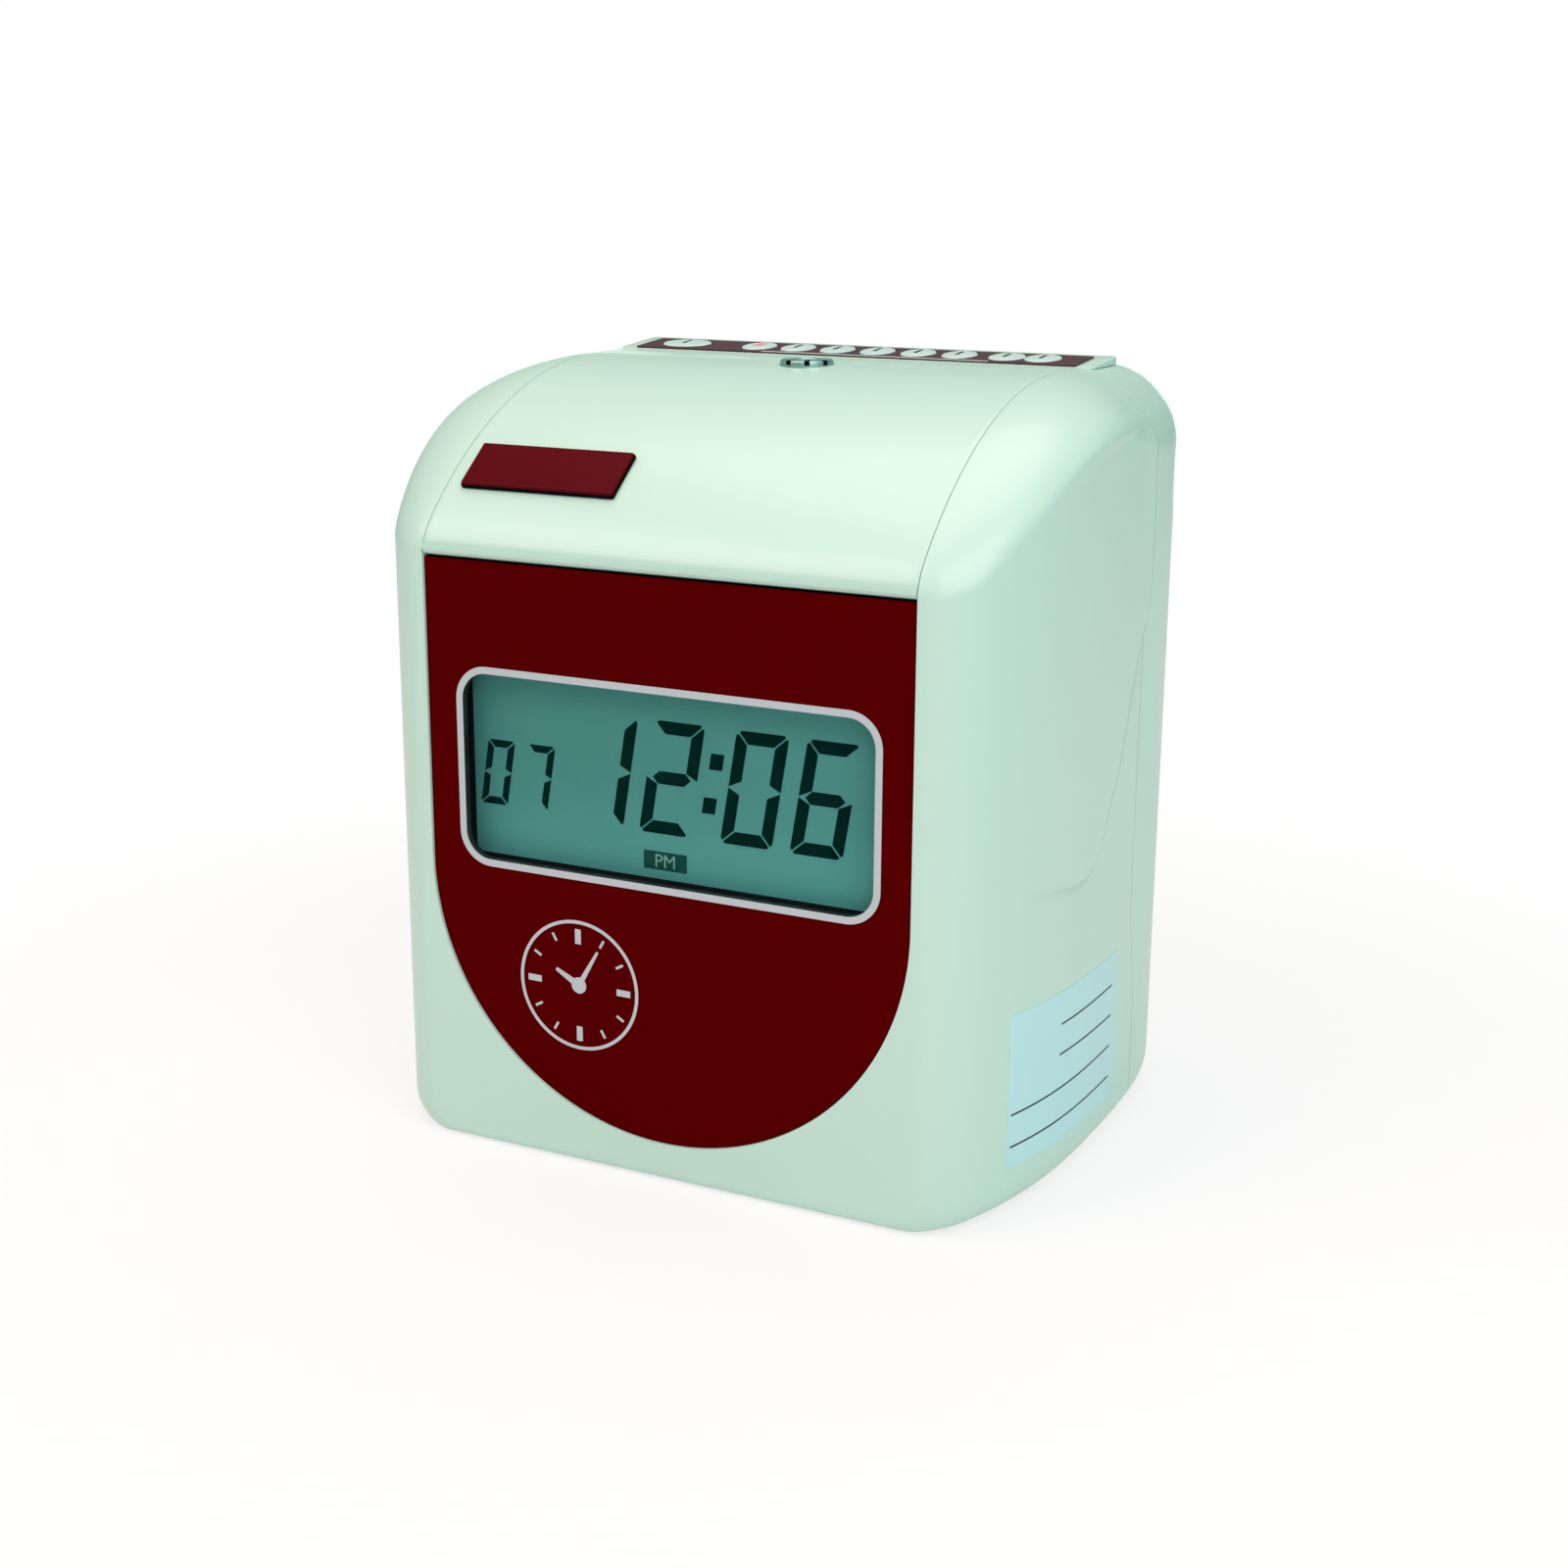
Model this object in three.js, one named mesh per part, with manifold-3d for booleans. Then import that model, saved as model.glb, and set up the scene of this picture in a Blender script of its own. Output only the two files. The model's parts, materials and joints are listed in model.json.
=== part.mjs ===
// Desk time clock: a barrel-shaped moulded housing with a lift-up hood, a red display panel, a row of
// keys on top, a card slot behind the keys, and the card printer that the hood opens on to.
// Millimetres, +Z up. The front faces -Y and the origin is the middle of the footprint on the desk.
// Inside the clock's own group y counts from the front face and z from the bottom of the housing.
import * as THREE from 'three';
import { mergeVertices } from 'three/addons/utils/BufferGeometryUtils.js';
import Module from 'manifold-3d';

const wasm = await Module();
wasm.setup();

// Driving dimensions. The card sets the width of the printer, and the printer the width of the casing.
// The printer's depths are counted forward from the card, its heights down from the casing's top.

const fit = {
  gap: 0.3,            // between pieces that rest on or in each other
  running: 0.25,       // round a turning or sliding shaft
  overrun: 2,          // how far a cutting tool reaches past the face that it cuts
};

const card = {
  slotWidth: 90,
  slotDepth: 5,
  funnelMargin: 3.5,   // the mouth over the slot, at each end
  funnelDepth: 11,
  throatMargin: 4.5,   // the rim over the mouth, at each end
  throatDepth: 17,
  throatRim: 0.8,
  throatLength: 11,
  backReach: 15.3,     // from the card to the casing's back
  lowZ: 42,
  sheet: 1,
  stopMargin: 24,      // from the slot's end to the rib that the card lands on
  stopWidth: 10,
};

const frame = {
  slotMargin: 17,      // from the slot's end to the side plate
  casingMargin: 39.4,  // from the side plate to the casing's widest point
  sheet: 1.5,
  footLength: 9,
  topDrop: 54.5,
  armReach: 87.7,
  armHeight: 42,
  legReach: 51.7,
  legBackReach: 9.7,
  backHeight: 70,
  backMargin: 10.3,    // behind the card
};

const housing = {
  depth: 165,
  topHeight: 222.5,
  bellyY: 91,          // where the sides are widest
  endDraw: 16.3,       // how far the sides have drawn in at the front and at the back
  crownY: 97,          // where the hood's long arc meets the flat top
  browArcRadius: 127,
  browLength: 5,       // the rounded edge over the display panel
  browDraw: 3.5,
  tailReach: 30,       // from where the top starts to fall to the back
  tailArcRadius: 75,
  tailLength: 6,
  tailDraw: 6,
  frontCornerLength: 10.5,
  frontCornerDraw: 6.3,
  backCornerLength: 13,
  backCornerDraw: 9,
  baseCorner: 11,
  bottomEdge: 3,
  wall: 2.6,
  partingReach: 57,    // from where the front housing meets the back cover to the back
};
const shoulderDropShare = 0.86;     // height of the soft shoulder as a share of its width

const panel = {
  cheek: 26.4,         // from the panel's edge to the casing's widest point
  lowMargin: 10.2,
  lipDrop: 1.4,        // from the casing's front top edge
  thickness: 2.4,
  setBack: 0.8,
  backing: 2.4,        // the housing wall that the panel is glued to
  windowLeftMargin: 9.5,
  windowRightMargin: 9,
  windowTopMargin: 29.9,
  windowHeight: 58.2,
  windowCorner: 10,
  lineWidth: 1.9,      // the pale line round the window
  lineProud: 0.15,
  lensThickness: 1.6,
  viewInset: 3.5,      // from the window's edge to the opening behind it
};

const lcd = {
  frontY: 8,
  glassThickness: 2.2,
  glassInset: 1,       // the glass is this much smaller than the window all round
  frameRim: 3.2,
  frameLip: 1.4,
  boardThickness: 1.6,
};

const hood = {
  backReach: 48.4,     // from its back edge to the casing's back
  knuckleRadius: 3.2,
  pinRadius: 1.2,
  pinReach: 5,         // how far the pin goes into the hood
  pinHold: 6,          // and into the housing's cheek
  ledge: 3.4,          // the rebate that the hood's sides rest on
  ledgeThickness: 2.2,
  ribY: 50,
  ribThickness: 1.8,
  ribDepth: 5,
};

const lock = {
  backMargin: 26.2,    // from the lock to the hood's back edge
  faceRadius: 7.8,
  faceProud: 0.9,
  bodyRadius: 5.6,
  plugRadius: 3.6,
  bodyLength: 15,
  keyWidth: 1.1,
  keyLength: 4.6,
  keyDepth: 6,
  camWidth: 9,
  camLength: 30,
  camThickness: 1.6,
  tailLength: 2.2,
  strikeSlotHeight: 5,
  strikeSlotHalfWidth: 19,
  strikeDepth: 24,
  strikeThickness: 2,
};

const badge = {
  sideMargin: 3.7,     // from the hood's edge
  centreY: 20.3,
  length: 50,
  height: 16.5,
  thickness: 1.6,
  bevel: 0.7,
  corner: 1.2,
};

const sideRecess = {
  depth: 1.7,
  frontY: 14,
  frontHighDrop: 44.5,
  highDrop: 19.5,
  bendDrop: 76.5,
  riseY: 46,
  backMargin: 2,       // in front of the parting line
  cornerMargin: 32,
  cornerZ: 88,
  lowZ: 84,
  fadeY: 30,
  round: 6,
};
const sideRecessFadeShare = 0.4;    // share of its length over which the recess comes up to depth

const label = {
  frontY: 22.7,
  backMargin: 18.3,    // in front of the parting line
  lowZ: 12,
  highZ: 56.5,
  pocket: 0.3,
  thickness: 0.2,
};

const keypad = {
  sideOverlap: 4,      // past the panel's edges
  depth: 22.6,
  frontProud: 0.8,
  backProud: 2.3,
  corner: 2,
  filmSideMargin: 6,
  filmFrontMargin: 1.1,
  filmBackMargin: 3.9,
  filmThickness: 0.4,
  skirtSideMargin: 9,
  skirtFrontMargin: 3.1,
  skirtBackMargin: 5,
  skirtDepth: 9,
  skirtWall: 1.6,
  boardThickness: 1.6,
  switchHeight: 3.4,
  switchSize: 5,
  keyDepth: 13,
  keyProud: 0.5,
  keyTravel: 1,
  stemRadius: 2.2,
  bigKeyWidth: 15,
  rowSpace: 3.1,       // between two keys of the row
  pairSpace: 0.5,
};
const rowCount = 6;
const bigKeyShare = 0.834;          // places and pitches along the film, as shares of its half width
const rowFirstShare = 0.4877;
const rowPitchShare = 0.1863;
const pairFirstShare = 0.66;
const pairPitchShare = 0.156;

const printer = {
  rodRadius: 3,
  rodDrop: 15,         // under the side plates' top
  frontRodReach: 45.7,
  backRodReach: 23.7,
  rodOverhang: 3,
  carriageWidth: 24,
  carriageHalfHeight: 5,
  carriageMargin: 6,   // carriage past the rods, front and back
  clampWidth: 14,
  headWidth: 20,
  headFrontReach: 32.7,
  headBackReach: 12.7,
  headHeight: 13,
  finSlot: 1.6,
  noseWidth: 8,
  noseReach: 5.8,
  noseLowRise: 4,      // over the rods
  noseHighRise: 11,
  platenThickness: 5,
  platenHeight: 12,
  platenRise: 7,
  bridgeReach: 41.2,
  bridgeDrop: 8.5,     // under and over the pulleys' axes
  bridgeRise: 7.2,
};
const finCount = 4;

const beltDrive = {
  pulleyMargin: 9,     // from the side plate
  pulleyDrop: 13,      // under the rods
  pulleyRadius: 6,
  flange: 1.2,
  flangeThickness: 0.8,
  width: 6,
  thickness: 1.1,
  shaftRadius: 1.6,
  motorRadius: 7.5,
  motorLength: 24,
};

const feed = {
  axisDrop: 50,        // under the side plates' top
  driveRadius: 7,
  pinchRadius: 5.5,
  nip: 0.3,
  rollerX: 28,
  rollerWidth: 14,
  shaftRadius: 2.5,
  pinchShaftRadius: 2,
  gearPitchRadius: 16,
  gearWidth: 5,
  motorRadius: 12,
  motorLength: 24,
  overhang: 2,
};
const gearTeeth = 32;
const pinionTeeth = 12;

const ribbon = {
  sideOverhang: 6,     // past the side plates
  backReach: 34.7,
  height: 13,
  corner: 8,
  armMargin: 2,        // from the slot's end
  armWidth: 10,
  armReach: 5.5,
  armTipLength: 9,
  armTipDrop: 1,       // under the band
  bandHeight: 6,
  bandThickness: 0.4,
  knobSideMargin: 30,
  knobFrontMargin: 22,
  knobRadius: 9,
  knobHeight: 5,
  hubRadius: 4,
  hubHeight: 0.8,
};
const knobGrips = 8;

const base = {
  openSideMargin: 25.4,
  openFrontY: 16,
  openBackMargin: 15,
  openCorner: 8,
  rim: 5,
  thickness: 2,
  footSideMargin: 14,
  footEndMargin: 12,
  footRadius: 7.5,
  footProud: 1.5,
  ventPitch: 8,
  ventLength: 34,
  ventWidth: 3,
  ventSideMargin: 24,
  ventLegMargin: 6,
};
const ventCount = 7;

const power = {
  coreSideMargin: 36,
  coreLegReach: 40,
  coreWidth: 48,
  coreDepth: 24,
  coreHeight: 40,
  limb: 8,
  bobbinMargin: 7,
  tabLength: 8,
  tabThickness: 1.5,
  boardSpace: 8,       // between the transformer and the board
  boardSideMargin: 6,
  boardFrontMargin: 8,
  boardLegMargin: 6,
  boardThickness: 1.6,
  standoff: 5,
  standoffRadius: 3,
  standoffInset: 6,
  capRadius: 7,
  capHeight: 22,
  chipWidth: 22,
  chipHeight: 3,
  sinkWidth: 30,
  sinkHeight: 20,
  sinkFin: 1.6,
  inletScrewMargin: 26,
  inletZ: 26,
  inletWidth: 28,
  inletHeight: 21,
  inletDepth: 17,
  inletWall: 2,
  pinWidth: 2,
  pinLength: 10,
  pinPitch: 6.5,
};
const sinkFinCount = 3;

const backWall = {
  screwSideMargin: 31.4,
  screwLowZ: 24,
  screwHighDrop: 30.5,
  screwHeadRadius: 3.2,
  screwHeadLength: 1.8,
  screwShankRadius: 1.6,
  screwLength: 14,
  screwHeadDepth: 4,   // behind the parting line, deep in its tube
  bossRadius: 5,
  bossLength: 18,
  ribThickness: 2,
  keyholeX: 45,
  keyholeDrop: 46.5,
  keyholeRadius: 4.5,
  keyholeSlotRadius: 2.2,
  keyholeRise: 9,
};

// Places that follow from them

frame.plateX = card.slotWidth / 2 + frame.slotMargin;
housing.halfWidth = frame.plateX + frame.casingMargin;
housing.tailY = housing.depth - housing.tailReach;
housing.partingY = housing.depth - housing.partingReach;
card.planeY = housing.depth - card.backReach;
card.funnelWidth = card.slotWidth + 2 * card.funnelMargin;
card.throatWidth = card.funnelWidth + 2 * card.throatMargin;
card.stopX = card.slotWidth / 2 - card.stopMargin;

frame.topZ = housing.topHeight - frame.topDrop;
frame.armY = card.planeY - frame.armReach;
frame.armLowZ = frame.topZ - frame.armHeight;
frame.legY = card.planeY - frame.legReach;
frame.legBackY = card.planeY - frame.legBackReach;
frame.legHighZ = frame.topZ - frame.backHeight;
frame.backY = card.planeY + frame.backMargin;

panel.halfWidth = housing.halfWidth - panel.cheek;
panel.archCentreZ = panel.halfWidth + panel.lowMargin;
panel.topZ = topAt(0) - panel.lipDrop;
panel.windowLeft = panel.halfWidth - panel.windowLeftMargin;
panel.windowRight = panel.halfWidth - panel.windowRightMargin;
panel.windowHighZ = panel.topZ - panel.windowTopMargin;
panel.windowLowZ = panel.windowHighZ - panel.windowHeight;

hood.halfWidth = panel.halfWidth - fit.gap;
hood.backY = housing.depth - hood.backReach;
hood.lowerZ = panel.topZ + 2 * fit.gap;
lock.y = hood.backY - lock.backMargin;
badge.centreX = badge.length / 2 + badge.sideMargin - hood.halfWidth;

sideRecess.frontHighZ = housing.topHeight - sideRecess.frontHighDrop;
sideRecess.highZ = housing.topHeight - sideRecess.highDrop;
sideRecess.bendZ = housing.topHeight - sideRecess.bendDrop;
sideRecess.backY = housing.partingY - sideRecess.backMargin;
sideRecess.cornerY = housing.partingY - sideRecess.cornerMargin;
label.backY = housing.partingY - label.backMargin;

keypad.frontY = hood.backY + fit.gap;
keypad.backY = keypad.frontY + keypad.depth;
keypad.halfWidth = panel.halfWidth + keypad.sideOverlap;
keypad.filmHalfWidth = keypad.halfWidth - keypad.filmSideMargin;
keypad.filmFrontY = keypad.frontY + keypad.filmFrontMargin;
keypad.filmBackY = keypad.backY - keypad.filmBackMargin;
keypad.skirtHalfWidth = keypad.halfWidth - keypad.skirtSideMargin;
keypad.skirtFrontY = keypad.frontY + keypad.skirtFrontMargin;
keypad.skirtBackY = keypad.backY - keypad.skirtBackMargin;

printer.rodZ = frame.topZ - printer.rodDrop;
printer.frontRodY = card.planeY - printer.frontRodReach;
printer.backRodY = card.planeY - printer.backRodReach;
printer.headFrontY = card.planeY - printer.headFrontReach;
printer.headBackY = card.planeY - printer.headBackReach;
printer.noseEndY = card.planeY - printer.noseReach;
printer.noseLowZ = printer.rodZ + printer.noseLowRise;
printer.noseHighZ = printer.rodZ + printer.noseHighRise;
printer.carriageLowZ = printer.rodZ - printer.carriageHalfHeight;
printer.carriageHighZ = printer.rodZ + printer.carriageHalfHeight;
printer.platenZ = printer.rodZ + printer.platenRise;
printer.bridgeY = card.planeY - printer.bridgeReach;

beltDrive.pulleyX = frame.plateX - beltDrive.pulleyMargin;
beltDrive.pulleyZ = printer.rodZ - beltDrive.pulleyDrop;
feed.axisZ = frame.topZ - feed.axisDrop;

ribbon.halfWidth = frame.plateX + ribbon.sideOverhang;
ribbon.frontY = frame.armY;
ribbon.backY = card.planeY - ribbon.backReach;
ribbon.armInnerX = card.slotWidth / 2 + ribbon.armMargin;
ribbon.armOuterX = ribbon.armInnerX + ribbon.armWidth;
ribbon.armEndY = card.planeY - ribbon.armReach;
ribbon.bandLowZ = printer.platenZ - ribbon.bandHeight / 2;
ribbon.bandHighZ = printer.platenZ + ribbon.bandHeight / 2;
ribbon.armTipZ = ribbon.bandLowZ - ribbon.armTipDrop;
ribbon.knobX = ribbon.halfWidth - ribbon.knobSideMargin;
ribbon.knobY = ribbon.frontY + ribbon.knobFrontMargin;

base.openHalfWidth = housing.halfWidth - base.openSideMargin;
base.openBackY = housing.depth - base.openBackMargin;
base.footX = base.openHalfWidth - base.footSideMargin;
base.footFrontY = base.openFrontY + base.footEndMargin;
base.footBackY = base.openBackY - base.footEndMargin;
base.ventX = base.ventSideMargin - frame.plateX;
base.ventY = frame.legY + base.ventLegMargin;

backWall.screwX = housing.halfWidth - backWall.screwSideMargin;
backWall.screwHighZ = housing.topHeight - backWall.screwHighDrop;
backWall.screwHeadY = housing.partingY + backWall.screwHeadDepth;
backWall.keyholeZ = housing.topHeight - backWall.keyholeDrop;

power.coreX = power.coreSideMargin - base.openHalfWidth;
power.coreY = frame.legY - power.coreLegReach;
power.boardX0 = power.coreX + power.coreWidth / 2 + power.tabLength + power.boardSpace;
power.boardX1 = base.openHalfWidth - power.boardSideMargin;
power.boardY0 = base.openFrontY + power.boardFrontMargin;
power.boardY1 = frame.legY - power.boardLegMargin;
power.inletX = power.inletScrewMargin - backWall.screwX;

// Colours and finishes

const finish = {
  casing: { color: 0xd8f0e0, roughness: 0.25, metalness: 0 },
  panelRed: { color: 0x5a0408, roughness: 0.15, metalness: 0 },
  film: { color: 0x4a2226, roughness: 0.4, metalness: 0 },
  key: { color: 0xcfe8e4, roughness: 0.35, metalness: 0 },
  badgeRed: { color: 0x64101c, roughness: 0.2, metalness: 0 },
  paleLine: { color: 0xc8d7dc, roughness: 0.4, metalness: 0 },
  lens: { color: 0xe8f4f2, roughness: 0.05, metalness: 0, transparent: true, opacity: 0.25 },
  lcdGlass: { color: 0x4a8980, roughness: 0.2, metalness: 0 },
  darkPlastic: { color: 0x24282a, roughness: 0.5, metalness: 0 },
  board: { color: 0x1e5a38, roughness: 0.5, metalness: 0 },
  steel: { color: 0xb4b8ba, roughness: 0.3, metalness: 1 },
  zinc: { color: 0x9aa8a8, roughness: 0.35, metalness: 1 },
  rubber: { color: 0x1b1b1c, roughness: 0.8, metalness: 0 },
  gearWhite: { color: 0xe6e4dc, roughness: 0.5, metalness: 0 },
  label: { color: 0xd4e6e4, roughness: 0.45, metalness: 0 },
};

// Solids and placing

function toSolid(geometry) {
  const bare = geometry.index ? geometry.toNonIndexed() : geometry.clone();
  bare.deleteAttribute('normal');
  bare.deleteAttribute('uv');
  const merged = mergeVertices(bare, mergeTolerance);
  return new wasm.Manifold(new wasm.Mesh({
    numProp: 3,
    vertProperties: new Float32Array(merged.attributes.position.array),
    triVerts: new Uint32Array(merged.index.array),
  }));
}

function toGeometry(solid) {
  const mesh = solid.getMesh();
  const geometry = new THREE.BufferGeometry();
  geometry.setAttribute('position', new THREE.BufferAttribute(new Float32Array(mesh.vertProperties), 3));
  geometry.setIndex(new THREE.BufferAttribute(new Uint32Array(mesh.triVerts), 1));
  geometry.computeVertexNormals();
  return geometry;
}

const mergeTolerance = housing.wall * 1e-5;
const clock = new THREE.Group();

function piece(name, solid, look, parent = clock) {
  const geometry = solid.isBufferGeometry ? solid : toGeometry(solid);
  const mesh = new THREE.Mesh(geometry, new THREE.MeshStandardMaterial(finish[look]));
  mesh.name = name;
  parent.add(mesh);
  return mesh;
}

const alongX = new THREE.Matrix4().set(0, 0, 1, 0, 1, 0, 0, 0, 0, 1, 0, 0, 0, 0, 0, 1);
const alongY = new THREE.Matrix4().set(1, 0, 0, 0, 0, 0, -1, 0, 0, 1, 0, 0, 0, 0, 0, 1);

// A flat outline pushed straight along one axis. prismX takes (y, z), prismY (x, z) and prismZ (x, y).
function prismX(outline, from, to, curveSegments = 6) {
  const shape = new THREE.ExtrudeGeometry(outline, { depth: to - from, bevelEnabled: false, curveSegments });
  return toSolid(shape.applyMatrix4(alongX).translate(from, 0, 0));
}

function prismY(outline, from, to, curveSegments = 6) {
  const shape = new THREE.ExtrudeGeometry(outline, { depth: to - from, bevelEnabled: false, curveSegments });
  return toSolid(shape.applyMatrix4(alongY).translate(0, to, 0));
}

function prismZ(outline, from, to, curveSegments = 6) {
  const shape = new THREE.ExtrudeGeometry(outline, { depth: to - from, bevelEnabled: false, curveSegments });
  return toSolid(shape.translate(0, 0, from));
}

function block(x0, x1, y0, y1, z0, z1) {
  const box = new THREE.BoxGeometry(x1 - x0, y1 - y0, z1 - z0);
  return toSolid(box.translate((x0 + x1) / 2, (y0 + y1) / 2, (z0 + z1) / 2));
}

function rodX(radius, y, z, from, to, sides = 20) {
  const rod = new THREE.CylinderGeometry(radius, radius, to - from, sides).rotateZ(Math.PI / 2);
  return toSolid(rod.translate((from + to) / 2, y, z));
}

function rodY(radius, x, z, from, to, sides = 20) {
  const rod = new THREE.CylinderGeometry(radius, radius, to - from, sides);
  return toSolid(rod.translate(x, (from + to) / 2, z));
}

function rodZ(radius, x, y, from, to, sides = 20) {
  const rod = new THREE.CylinderGeometry(radius, radius, to - from, sides).rotateX(Math.PI / 2);
  return toSolid(rod.translate(x, y, (from + to) / 2));
}

function roundedRect(x0, x1, y0, y1, r) {
  const shape = new THREE.Shape();
  shape.moveTo(x0 + r, y0);
  shape.lineTo(x1 - r, y0);
  shape.absarc(x1 - r, y0 + r, r, -Math.PI / 2, 0);
  shape.lineTo(x1, y1 - r);
  shape.absarc(x1 - r, y1 - r, r, 0, Math.PI / 2);
  shape.lineTo(x0 + r, y1);
  shape.absarc(x0 + r, y1 - r, r, Math.PI / 2, Math.PI);
  shape.lineTo(x0, y0 + r);
  shape.absarc(x0 + r, y0 + r, r, Math.PI, 1.5 * Math.PI);
  return shape;
}

function polygon(points) {
  return new THREE.Shape(points.map(([x, y]) => new THREE.Vector2(x, y)));
}

// The housing's form: one front-view section at each distance y from the front face

function roundOff(y, length, draw) {
  const t = Math.min(Math.max((length - y) / length, 0), 1);
  return draw * (1 - Math.sqrt(1 - t * t));
}

function halfWidthAt(y) {
  const reach = y < housing.bellyY ? housing.bellyY : housing.depth - housing.bellyY;
  const side = housing.halfWidth - housing.endDraw * Math.abs((y - housing.bellyY) / reach) ** 3;
  const front = roundOff(y, housing.frontCornerLength, housing.frontCornerDraw);
  const back = roundOff(housing.depth - y, housing.backCornerLength, housing.backCornerDraw);
  return side - front - back;
}

function arcDrop(distance, radius) {
  return radius - Math.sqrt(radius * radius - distance * distance);
}

function topAt(y) {
  const brow = arcDrop(Math.max(housing.crownY - y, 0), housing.browArcRadius);
  const tail = arcDrop(Math.max(y - housing.tailY, 0), housing.tailArcRadius);
  const front = roundOff(y, housing.browLength, housing.browDraw);
  const back = roundOff(housing.depth - y, housing.tailLength, housing.tailDraw);
  return housing.topHeight - brow - tail - front - back;
}

function bottomAt(y) {
  const front = roundOff(y, housing.bottomEdge, housing.bottomEdge);
  return front + roundOff(housing.depth - y, housing.bottomEdge, housing.bottomEdge);
}

const baseSteps = 3;
const shoulderSteps = 5;

function sectionAt(y, inset, recess) {
  const half = halfWidthAt(y) - inset - recess;
  const seam = panel.halfWidth;
  const top = topAt(y) - inset;
  const bottom = bottomAt(y) + inset;
  const shoulder = half - seam;
  const drop = (halfWidthAt(y) - seam) * shoulderDropShare;
  const corner = housing.baseCorner - inset;
  const right = [];
  for (let i = 0; i <= baseSteps; i += 1) {
    const angle = (i / baseSteps) * Math.PI / 2;
    right.push([half - corner + corner * Math.sin(angle), bottom + corner - corner * Math.cos(angle)]);
  }
  for (let i = 0; i <= shoulderSteps; i += 1) {
    const angle = (i / shoulderSteps) * Math.PI / 2;
    right.push([seam + shoulder * Math.cos(angle), top - drop + drop * Math.sin(angle)]);
  }
  const left = right.map(([x, z]) => [-x, z]).reverse();
  return [...right, ...left];
}

const stationShares = [0, 0.05, 0.2, 0.5, 1];
const middleStations = 10;

function stations() {
  const front = stationShares.map((share) => share * housing.frontCornerLength);
  const back = stationShares.map((share) => housing.depth - share * housing.backCornerLength).reverse();
  const from = housing.frontCornerLength;
  const to = housing.depth - housing.backCornerLength;
  const middle = [];
  for (let i = 1; i < middleStations; i += 1) middle.push(from + (to - from) * i / middleStations);
  return [...front, ...middle, ...back];
}

// Rings of points joined by a skin, with a fan over each end
function loft(rings) {
  const count = rings[0].length;
  const positions = [];
  const index = [];
  for (const ring of rings) {
    for (const [x, y, z] of ring) positions.push(x, y, z);
  }
  for (let r = 0; r < rings.length - 1; r += 1) {
    for (let i = 0; i < count; i += 1) {
      const a = r * count + i;
      const b = r * count + (i + 1) % count;
      index.push(a, a + count, b, b, a + count, b + count);
    }
  }
  const last = (rings.length - 1) * count;
  for (let i = 1; i < count - 1; i += 1) {
    index.push(0, i, i + 1);
    index.push(last, last + i + 1, last + i);
  }
  const geometry = new THREE.BufferGeometry();
  geometry.setAttribute('position', new THREE.Float32BufferAttribute(positions, 3));
  geometry.setIndex(index);
  return toSolid(geometry);
}

// The housing's form drawn in by an even inset, and by a recess in its sides that changes with y.
// Its ends are cut square at y = start and y = end.
function form(inset = 0, start = 0, end = housing.depth, recessAt = () => 0) {
  const inside = stations().filter((y) => y > start && y < end);
  const ys = [start, ...inside, end];
  return loft(ys.map((y) => sectionAt(y, inset, recessAt(y)).map(([x, z]) => [x, y, z])));
}

const reach = housing.depth + housing.topHeight;    // past anything, for cutting tools
const wellDepth = panel.setBack + panel.thickness + fit.gap;
const backingY = wellDepth + panel.backing;
const floorZ = housing.wall + base.thickness + 2 * fit.gap;      // what stands on the base plate
const knuckleY = hood.knuckleRadius;
const knuckleZ = hood.lowerZ + hood.knuckleRadius;

const archSegments = 13;

function archOutline(grow) {
  const half = panel.halfWidth + grow;
  const shape = new THREE.Shape();
  shape.moveTo(-half, panel.topZ + grow);
  shape.lineTo(-half, panel.archCentreZ);
  shape.absarc(0, panel.archCentreZ, half, Math.PI, 2 * Math.PI);
  shape.lineTo(half, panel.topZ + grow);
  return shape;
}

function windowOutline(inset) {
  const { windowLeft, windowRight, windowLowZ, windowHighZ, windowCorner } = panel;
  const corner = Math.max(windowCorner - inset, panel.lineWidth);
  const left = inset - windowLeft;
  return roundedRect(left, windowRight - inset, windowLowZ + inset, windowHighZ - inset, corner);
}

function sideRecessAt(y) {
  const t = Math.min(Math.max((y - sideRecess.frontY) / (sideRecess.backY - sideRecess.frontY), 0), 1);
  return sideRecess.depth * Math.sqrt(t) * Math.min(t / sideRecessFadeShare, 1);
}

function sideRecessOutline() {
  const s = sideRecess;
  const shape = new THREE.Shape();
  shape.moveTo(s.frontY, s.frontHighZ);
  shape.lineTo(s.frontY, s.lowZ + s.round);
  shape.quadraticCurveTo(s.frontY, s.lowZ, s.fadeY, s.lowZ);
  shape.lineTo(s.cornerY - s.round, s.cornerZ - s.round);
  shape.quadraticCurveTo(s.cornerY, s.cornerZ - s.round, s.cornerY + s.round, s.cornerZ + s.round);
  shape.quadraticCurveTo(s.backY, s.bendZ - s.round, s.backY, s.bendZ + s.round);
  shape.lineTo(s.backY, s.highZ);
  shape.lineTo(s.riseY + s.round, s.highZ);
  shape.quadraticCurveTo(s.riseY - s.round, s.highZ, s.frontY, s.frontHighZ);
  return shape;
}

function sideRecessCut(side) {
  const near = Math.min(side * panel.halfWidth, side * reach);
  const far = Math.max(side * panel.halfWidth, side * reach);
  return prismX(sideRecessOutline(), near, far, 3).subtract(form(0, 0, housing.partingY, sideRecessAt));
}

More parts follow.
